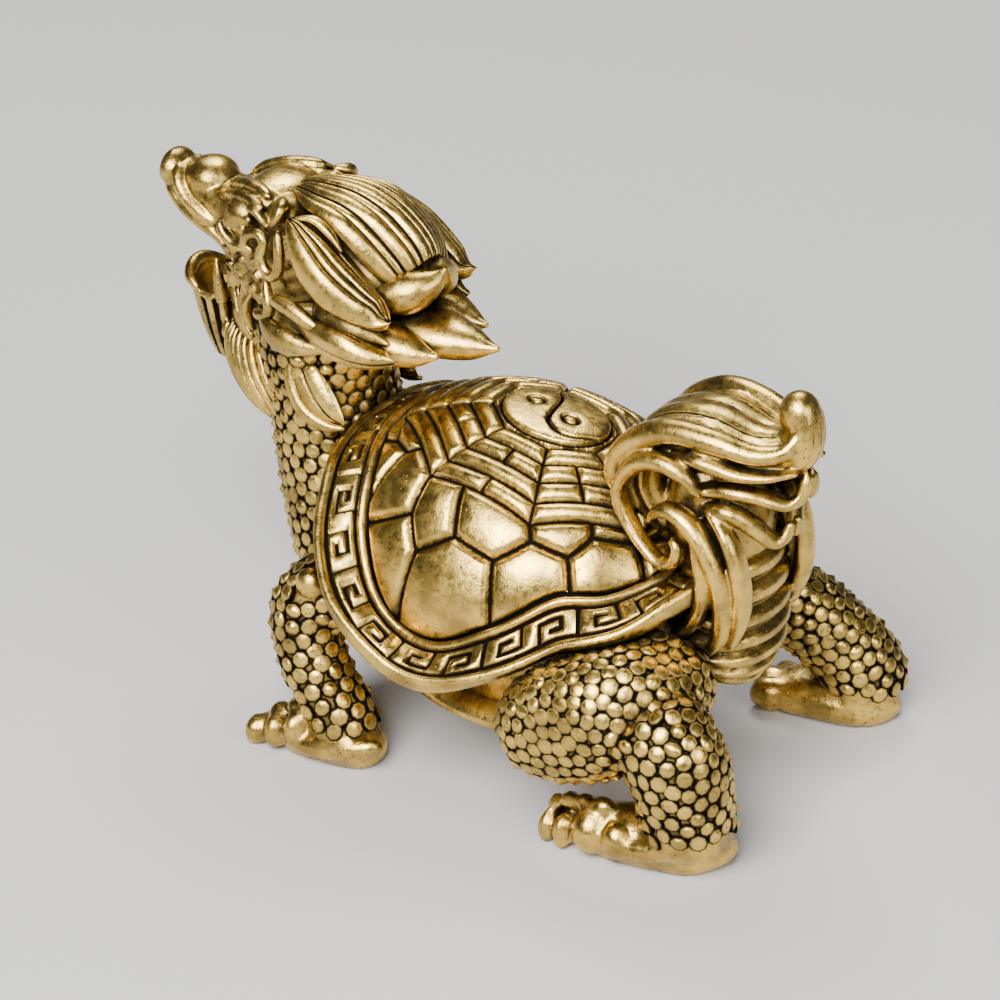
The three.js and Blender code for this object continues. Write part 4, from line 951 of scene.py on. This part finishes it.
def makeMane():
    core = mane["core"]
    near = [
        (-23.9, -0.4, 36.0), (-22.2, -1.9, 36.4), (-20.6, -3.1, 36.5), (-18.4, -3.7, 36.2),
        (-16.5, -3.7, 34.9), (-14.9, -3.2, 33.1), (-13.7, -2.4, 31.8), (-12.5, -1.2, 32.0),
        (-11.2, -0.12, 33.1),
    ]
    far = [
        (-23.9, 0.4, 36.0), (-22.2, 1.9, 36.4), (-20.6, 3.1, 36.5), (-18.4, 4.0, 36.1),
        (-16.2, 4.2, 35.0), (-14.2, 3.9, 33.6), (-12.9, 3.0, 32.4), (-11.9, 1.8, 32.3),
        (-11.2, 0.12, 33.1),
    ]
    skins = [
        ball(-17.9, 0, 31.6, 4.9, 4.4, 3.6),
        petal(near, far, core=core,
              strands=(0, 0.13, 0.2, 0.33, 0.41, 0.55, 0.64, 0.75, 0.83, 0.92, 1),
              bulge=(0.2, 0.8, 1.05, 1.3, 1.6, 1.8, 1.4, 0.6, 0.05), ridge=0.95, thick=1.4, rings=76,
              across=130),
        form([
            (-15.4, 0, 28.6, 2.3, 1.4), (-11.6, 0, 28.2, 2.4, 1.5), (-8.8, 0, 28.1, 1.4, 1.1),
            (-6.6, 0, 28.3, 0.2),
        ], rings=30, sides=28, blunt=(0.05, 0)),
    ]
    for which in (-1, 1):
        shorter = mane["shorterRight"] if which > 0 else 0.0
        tuck = mane["tuckedRight"] if which > 0 else 0.0
        skins += [
            onSide(which, [
                (-16.0, 0.9, 30.8, 2.0, 1.2), (-14.2, 1.5, 31.2, 2.0, 1.6), (-12.7, 1.3, 31.7, 1.6, 1.5),
                (-11.6, 0.6, 32.4, 0.9), (-10.95, 0.05, 33.3, 0.15),
            ], rings=40, sides=36, blunt=(0.15, 0)),
            petal([(-20.9, 4.9, 36.2 - tuck), (-20.4, 5.6, 35.4 - tuck / 2), (-19.5, 6.3, 34.0),
                   (-17.9, 6.8, 32.4),
                   (-15.6, 6.8, 31.2), (-13.3, 6.1, 30.6), (-11.9, 5.3, 31.0)],
                  [(-20.9, 4.6, 36.3 - tuck), (-19.9, 3.9, 35.9 - tuck), (-18.3, 3.3, 35.0 - tuck),
                   (-16.4, 3.2, 33.5), (-14.6, 3.3, 32.0), (-13.1, 3.8, 31.1), (-11.95, 5.25, 31.03)],
                  core=core, strands=(0, 0.38, 0.55, 0.8, 1),
                  bulge=(0.2, 0.5, 0.9, 1.2, 1.1, 0.8, 0.2), ridge=0.85, thick=1.2, rings=64,
                  across=76, which=which),
            form([
                (-20.4, 4.6 * which, 36.3 - tuck, 0.15, 0.15),
                (-19.2, 4.1 * which, 36.4 - tuck, 0.36, 0.3),
                (-17.8, 4.1 * which, 35.7 - tuck, 0.36, 0.3),
                (-16.6, 4.3 * which, 34.6 - tuck, 0.12, 0.12),
            ], rings=24, sides=12),
            petal([(-20.4, 5.2, 29.0), (-18.6, 6.0, 28.3), (-16.8, 6.5, 27.8),
                   (-14.2 - shorter / 2, 6.6, 27.5), (-12.4 - shorter, 6.2, 27.7),
                   (-11.0 - shorter, 6.0, 28.4)],
                  [(-20.2, 5.2, 29.3), (-18.4, 6.1, 29.9), (-16.4, 6.7, 30.2),
                   (-14.5 - shorter / 2, 6.8, 30.0), (-12.7 - shorter, 6.4, 29.2),
                   (-11.1 - shorter, 6.0, 28.6)],
                  core=core, strands=(0, 0.3, 1), bulge=(0.0, 0.2, 0.3, 0.3, 0.1), ridge=0.6, thick=1.6,
                  rings=34, across=30, which=which),
            onSide(which, [
                (-17.0, 2.8, 28.4, 1.7, 1.4), (-13.8, 3.3, 28.3, 1.9, 1.5), (-11.4, 3.2, 28.0, 1.2, 1.0),
                (-9.6, 3.0, 28.1, 0.2),
            ], rings=28, sides=24, blunt=(0.05, 0)),
            onSide(which, [
                (-19.0, 4.2, 30.0, 0.8), (-17.0, 4.8, 29.9, 1.3, 1.2), (-14.8, 5.0, 29.6, 1.2, 1.1),
                (-12.4, 4.8, 29.0, 0.15),
            ], rings=30, sides=24, side=(0, 0.8, -0.5), blunt=(0.2, 0)),
        ]
    return thinned(meshFrom("mane", skins), mane["triangles"])


# The tail: a ribbed root, a plume with an upturned end, scrolls and side strands

def makeTail():
    skins = [
        form([
            (12.2, 0, 9.4, 2.6, 2.4), (12.6, 0, 11.8, 4.5, 3.3), (12.6, 0, 15.2, 4.8, 3.5),
            (12.3, 0, 19.2, 4.2, 3.3),
        ], rings=84, sides=40, ripples=7, rippleDepth=0.24),
        form([
            (12.0, 0, 17.5, 3.6, 3.0), (11.4, 0, 21.5, 4.0, 3.6), (10.6, 0, 26.0, 3.2, 2.4),
        ], rings=20, sides=28, blunt=(0.1, 0.1)),
        form([
            (9.8, 0, 18.6, 2.6, 1.6), (6.7, 0, 22.4, 3.4, 2.0), (7.5, 0, 26.2, 3.8, 1.8),
            (11.0, 0, 27.6, 3.8, 1.8), (14.6, 0, 27.0, 3.1, 1.7), (17.3, 0, 27.7, 1.9, 1.6),
            (17.8, 0, 29.8, 1.4, 1.3), (16.8, 0, 31.4, 1.0, 0.9),
        ], rings=100, sides=110, strands=12, depth=0.15, blunt=(0.05, 0.08)),
        ball(17.3, 0, 30.2, 1.45, 1.45, 1.6),
    ]
    for which in (-1, 1):
        skins += [onSide(which, stations, rings=8 * len(stations), sides=20, blunt=(0.03, 0.03))
                  for stations in tailStrands]
    return fused(meshFrom("tail", skins), tail["voxel"], tail["softening"], tail["triangles"])


tail = {"voxel": 0.13, "softening": 1, "triangles": 23000}
tailStrands = [
    [(6.6, 3.4, 21.2, 0.4, 0.3), (5.4, 3.8, 23.6, 0.8, 0.6), (5.6, 3.9, 25.2, 0.9, 0.75),
     (6.7, 3.9, 26.7, 1.0, 0.85), (8.3, 3.9, 27.8, 1.0, 0.9), (10.2, 3.8, 28.4, 1.0, 0.9),
     (12.8, 3.5, 28.3, 0.95, 0.85), (15.6, 2.8, 27.8, 0.85, 0.7), (17.3, 1.8, 28.1, 0.7, 0.6),
     (18.0, 0.9, 29.3, 0.5)],
    [(12.4, 4.3, 24.3, 0.4, 0.2), (11.3, 4.5, 25.7, 0.75, 0.55), (9.7, 4.6, 26.3, 0.85, 0.68),
     (7.9, 4.6, 25.9, 0.85, 0.66), (6.7, 4.6, 24.6, 0.8, 0.58), (6.2, 4.6, 23.1, 0.8, 0.5),
     (6.9, 4.6, 21.3, 0.75, 0.48), (8.4, 4.7, 19.7, 0.7, 0.45), (9.7, 4.8, 18.9, 0.7, 0.45),
     (10.8, 4.9, 19.3, 0.65, 0.45), (11.1, 4.9, 20.4, 0.6, 0.42), (10.5, 4.9, 21.0, 0.4, 0.3)],
    [(8.6, 4.6, 21.5, 0.3, 0.2), (9.2, 4.8, 22.5, 0.6, 0.42), (10.4, 4.9, 23.1, 0.8, 0.58),
     (11.9, 4.9, 22.5, 0.9, 0.68), (13.3, 4.9, 20.9, 0.95, 0.72), (14.2, 4.8, 18.9, 0.95, 0.72),
     (14.6, 4.7, 16.7, 0.9, 0.68), (14.3, 4.6, 14.6, 0.8, 0.6), (13.4, 4.6, 12.8, 0.4, 0.3)],
    [(12.7, 4.1, 23.5, 0.3, 0.25), (14.4, 4.2, 22.1, 0.8, 0.5), (15.3, 4.2, 20.2, 0.9, 0.58),
     (15.7, 4.1, 17.9, 0.9, 0.6), (15.5, 4.0, 15.7, 0.85, 0.55), (14.8, 4.0, 13.4, 0.5, 0.3)],
    [(12.2, 5.0, 21.4, 0.3, 0.2), (12.9, 5.1, 19.9, 0.7, 0.45), (13.3, 5.1, 18.2, 0.8, 0.58),
     (13.1, 5.1, 16.6, 0.8, 0.58), (12.3, 5.2, 15.0, 0.7, 0.5), (11.0, 5.5, 13.3, 0.35, 0.2)],
    [(10.4, 3.6, 26.9, 0.5, 0.2), (11.6, 3.9, 26.9, 0.8, 0.48), (13.0, 3.8, 26.7, 0.8, 0.6),
     (14.7, 3.4, 26.4, 0.8, 0.48), (16.6, 2.6, 26.4, 0.7, 0.35), (18.3, 1.6, 26.7, 0.3, 0.2)],
    [(11.6, 3.4, 24.3, 0.6, 0.4), (13.8, 3.2, 24.8, 0.8, 0.55), (15.6, 2.6, 24.7, 0.8, 0.5),
     (17.3, 1.3, 24.0, 0.7, 0.45), (18.0, 0.7, 24.5, 0.55, 0.45), (18.2, 0.4, 25.6, 0.5, 0.45),
     (18.1, 0.3, 26.2, 0.2)],
    [(12.3, 3.6, 23.0, 0.6, 0.5), (14.1, 3.6, 23.5, 0.8, 0.6), (15.4, 2.8, 22.6, 0.8, 0.6),
     (16.3, 1.5, 21.1, 0.7, 0.5), (16.9, 0.8, 21.1, 0.6, 0.4), (17.2, 0.4, 22.3, 0.3)],
]


# The metal: polished high, black with patina in the crevices, darkened towards olive by painted shade in the
# wider hollows, pitted and slightly uneven

brass = {
    "bright": (0.80, 0.53, 0.12), "mellow": (0.36, 0.24, 0.06), "patina": (0.004, 0.0028, 0.0018),
    # olive is the speckles' own dark tone and also the colour of the painted shade in the wider hollows
    "olive": (0.095, 0.07, 0.03), "roughness": 0.29, "creviceReach": 0.8, "shadeReach": 3.0,
    # each pattern's scale, detail and roughness
    "tone": (330, 4, 0.6), "cloud": (1500, 4, 0.65), "grain": (5200, 3, 0.6),
    "speckle": (2600, 3, 0.7), "speckledParts": (260, 3), "pits": 2300.0, "pittedParts": (420, 2),
}


def makeBrass():
    metal = bpy.data.materials.new("agedBrass")
    metal.use_nodes = True
    tree = metal.node_tree
    tree.nodes.clear()
    make = nodeMaker(tree)
    place = make("ShaderNodeTexCoord").outputs["Object"]

    def noise(scale, detail, rough=0.5):
        inputs = {"Vector": place, "Scale": scale, "Detail": detail, "Roughness": rough}
        return make("ShaderNodeTexNoise", inputs).outputs["Fac"]

    def ranged(value, low, high, toLow=0.0, toHigh=1.0):
        inputs = {"Value": value, "From Min": low, "From Max": high, "To Min": toLow, "To Max": toHigh}
        return make("ShaderNodeMapRange", inputs, interpolation_type="SMOOTHSTEP").outputs["Result"]

    def maths(operation, first, second):
        return make("ShaderNodeMath", {0: first, 1: second}, operation=operation).outputs["Value"]

    def mixed(share, first, second):
        node = make("ShaderNodeMix", {"Factor": share}, data_type="RGBA")
        for key, value in ((6, first), (7, second)):
            if isinstance(value, bpy.types.NodeSocket):
                tree.links.new(value, node.inputs[key])
            else:
                node.inputs[key].default_value = (*value, 1)
        return node.outputs[2]

    tone = ranged(noise(*brass["tone"]), 0.36, 0.64)
    cloud = noise(*brass["cloud"])
    grain = noise(*brass["grain"])
    cells = make("ShaderNodeTexVoronoi", {"Vector": place, "Scale": brass["pits"]}).outputs["Distance"]
    pitted = ranged(noise(*brass["pittedParts"]), 0.5, 0.62)
    pits = maths("MULTIPLY", ranged(cells, 0.2, 0.08), pitted)
    crevice = make("ShaderNodeAmbientOcclusion", {"Distance": brass["creviceReach"] * millimetre},
                   only_local=True, samples=6).outputs["AO"]
    shade = make("ShaderNodeAmbientOcclusion", {"Distance": brass["shadeReach"] * millimetre},
                 only_local=True, samples=4).outputs["AO"]
    line = make("ShaderNodeAttribute", attribute_name="groove").outputs["Fac"]
    roughened = maths("MULTIPLY_ADD", cloud, 0.3)
    roughened.node.inputs[2].default_value = -0.15
    opened = maths("ADD", crevice, roughened)
    hollow = ranged(opened, 0.74, 0.42)
    dirt = maths("MAXIMUM", maths("MAXIMUM", hollow, ranged(line, 0.5, 0.9)), pits)
    # painted shade: where the wider occlusion finds the surface hemmed in, the colour is darkened towards
    # olive
    shadow = ranged(maths("ADD", shade, roughened), 0.85, 0.35, 0.0, 0.85)

    speckle = maths("MULTIPLY", ranged(noise(*brass["speckle"]), 0.55, 0.68),
                    ranged(noise(*brass["speckledParts"]), 0.42, 0.6))
    metalColour = mixed(tone, brass["mellow"], brass["bright"])
    metalColour = mixed(maths("MULTIPLY", speckle, 0.75), metalColour, brass["olive"])
    # painted shade mixed into the colour, towards olive
    shadeDarkened = mixed(shadow, metalColour, brass["olive"])
    colour = mixed(dirt, shadeDarkened, brass["patina"])
    rough = maths("ADD", ranged(cloud, 0.3, 0.7, brass["roughness"] - 0.06, brass["roughness"] + 0.08),
                  maths("MULTIPLY", dirt, 0.35))
    metallic = ranged(dirt, 0.2, 1.0, 1.0, 0.1)
    swell = make("ShaderNodeBump", {"Height": cloud, "Strength": 0.35, "Distance": 0.00012})
    fine = make("ShaderNodeBump", {"Height": maths("SUBTRACT", grain, maths("MULTIPLY", pits, 2.0)),
                                   "Strength": 0.35, "Distance": 0.00004,
                                   "Normal": swell.outputs["Normal"]})
    shader = make("ShaderNodeBsdfPrincipled", {
        "Base Color": colour, "Metallic": metallic, "Roughness": rough, "Specular IOR Level": 0.02,
        "Normal": fine.outputs["Normal"],
    })
    make("ShaderNodeOutputMaterial", {"Surface": shader.outputs["BSDF"]})
    return metal


# Putting the casting together

def keptInside(points):
    # the fine skin is eased back where it would pass the solid's box, and stands flat
    low, high = (np.array(corner) / millimetre for corner in cadBox)
    margin, spare = 1.2, 0.35
    for axis in range(3):
        if axis < 2:
            near = points[:, axis] - low[axis]
            eased = low[axis] + margin * (near + spare) / (margin + spare)
            points[:, axis] = np.where(near < margin, eased, points[:, axis])
        near = high[axis] - points[:, axis]
        eased = high[axis] - margin * (near + spare) / (margin + spare)
        points[:, axis] = np.where(near < margin, eased, points[:, axis])
    points[:, 2] = np.maximum(points[:, 2], 0)
    return np.clip(points, low, high)


def assemble(parts, finish):
    points, triangles, lines, base = [], [], [], 0
    for part in parts:
        mesh = part.data
        mesh.calc_loop_triangles()
        corners = np.empty(len(mesh.loop_triangles) * 3, int)
        mesh.loop_triangles.foreach_get("vertices", corners)
        points.append(pointsOf(part))
        triangles.append(corners.reshape(-1, 3) + base)
        lines.append(marksOf(mesh))
        base += len(mesh.vertices)
        print("  ", part.name, len(mesh.loop_triangles), "triangles")
        bpy.data.objects.remove(part)
    placed = keptInside(np.vstack(points) + gridOrigin) * millimetre
    mesh = bpy.data.meshes.new("dragonTurtle")
    mesh.from_pydata(placed.tolist(), [], np.vstack(triangles).tolist())
    marked(mesh, np.concatenate(lines))
    mesh.validate()
    mesh.shade_smooth()
    mesh.set_sharp_from_angle(angle=math.radians(58))
    mesh.materials.append(finish)
    casting = bpy.data.objects.new("dragonTurtle", mesh)
    bpy.context.scene.collection.objects.link(casting)
    print("casting", len(mesh.polygons), "triangles")
    return casting


# Floor, light and camera

studio = {
    "target": (0.0, 0.0, 0.017), "floor": (0.42, 0.41, 0.40), "floorReach": 3.0,
    "world": 0.1, "worldColour": (0.9, 0.92, 1.0),
    "lamps": [
        {"name": "key", "azimuth": 12, "elevation": 42, "distance": 0.5, "size": 0.34, "power": 9.0},
        {"name": "fill", "azimuth": 75, "elevation": 25, "distance": 0.6, "size": 0.3, "power": 2.2},
        {"name": "rim", "azimuth": 215, "elevation": 55, "distance": 0.6, "size": 0.25, "power": 3.0},
    ],
}
photoView = {
    "azimuth": 34.0, "elevation": 28.0, "lens": 178.9, "place": (0.17175, -0.25316, 0.1788),
}


def towards(azimuth, elevation):
    a, e = math.radians(azimuth), math.radians(elevation)
    return Vector((math.sin(a) * math.cos(e), -math.cos(a) * math.cos(e), math.sin(e)))


def makeStudio():
    mesh = bpy.data.meshes.new("floor")
    reach = studio["floorReach"]
    corners = [(-reach, -reach, 0), (reach, -reach, 0), (reach, reach, 0), (-reach, reach, 0)]
    mesh.from_pydata(corners, [], [(0, 1, 2, 3)])
    floor = bpy.data.objects.new("floor", mesh)
    bpy.context.scene.collection.objects.link(floor)
    pale = bpy.data.materials.new("paleFloor")
    pale.use_nodes = True
    shader = pale.node_tree.nodes["Principled BSDF"]
    shader.inputs["Base Color"].default_value = (*studio["floor"], 1)
    shader.inputs["Roughness"].default_value = 0.8
    mesh.materials.append(pale)
    world = bpy.data.worlds.new("studioWorld")
    world.use_nodes = True
    background = world.node_tree.nodes["Background"].inputs
    background["Color"].default_value = (*studio["worldColour"], 1)
    background["Strength"].default_value = studio["world"]
    bpy.context.scene.world = world
    target = Vector(studio["target"])
    for lamp in studio["lamps"]:
        light = bpy.data.lights.new(lamp["name"], "AREA")
        light.size, light.energy = lamp["size"], lamp["power"]
        holder = bpy.data.objects.new(lamp["name"], light)
        back = towards(lamp["azimuth"], lamp["elevation"])
        holder.location = target + back * lamp["distance"]
        holder.rotation_euler = back.to_track_quat("Z", "Y").to_euler()
        bpy.context.scene.collection.objects.link(holder)
    camera = bpy.data.cameras.new("photoCamera")
    camera.lens, camera.sensor_width = photoView["lens"], 36
    camera.clip_start, camera.clip_end = 0.01, 20
    holder = bpy.data.objects.new("photoCamera", camera)
    holder.location = photoView["place"]
    holder.rotation_euler = (math.radians(90 - photoView["elevation"]), 0,
                             math.radians(photoView["azimuth"]))
    bpy.context.scene.collection.objects.link(holder)
    bpy.context.scene.camera = holder


makeStudio()
print("studio set")
metal = makeBrass()
print("brass mixed")
ground = makeBody()
print("body fused")
parts = [makeShell(), ground, makePebbles(ground, metal)]
print("shell carved and pebbles sown")
parts += [makeHeadCore(), makeHeadLocks(), makeMane(), makeTail()]
print("head, mane and tail formed")
casting = assemble(parts, metal)
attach(casting, "root")
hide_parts("dragon_turtle")
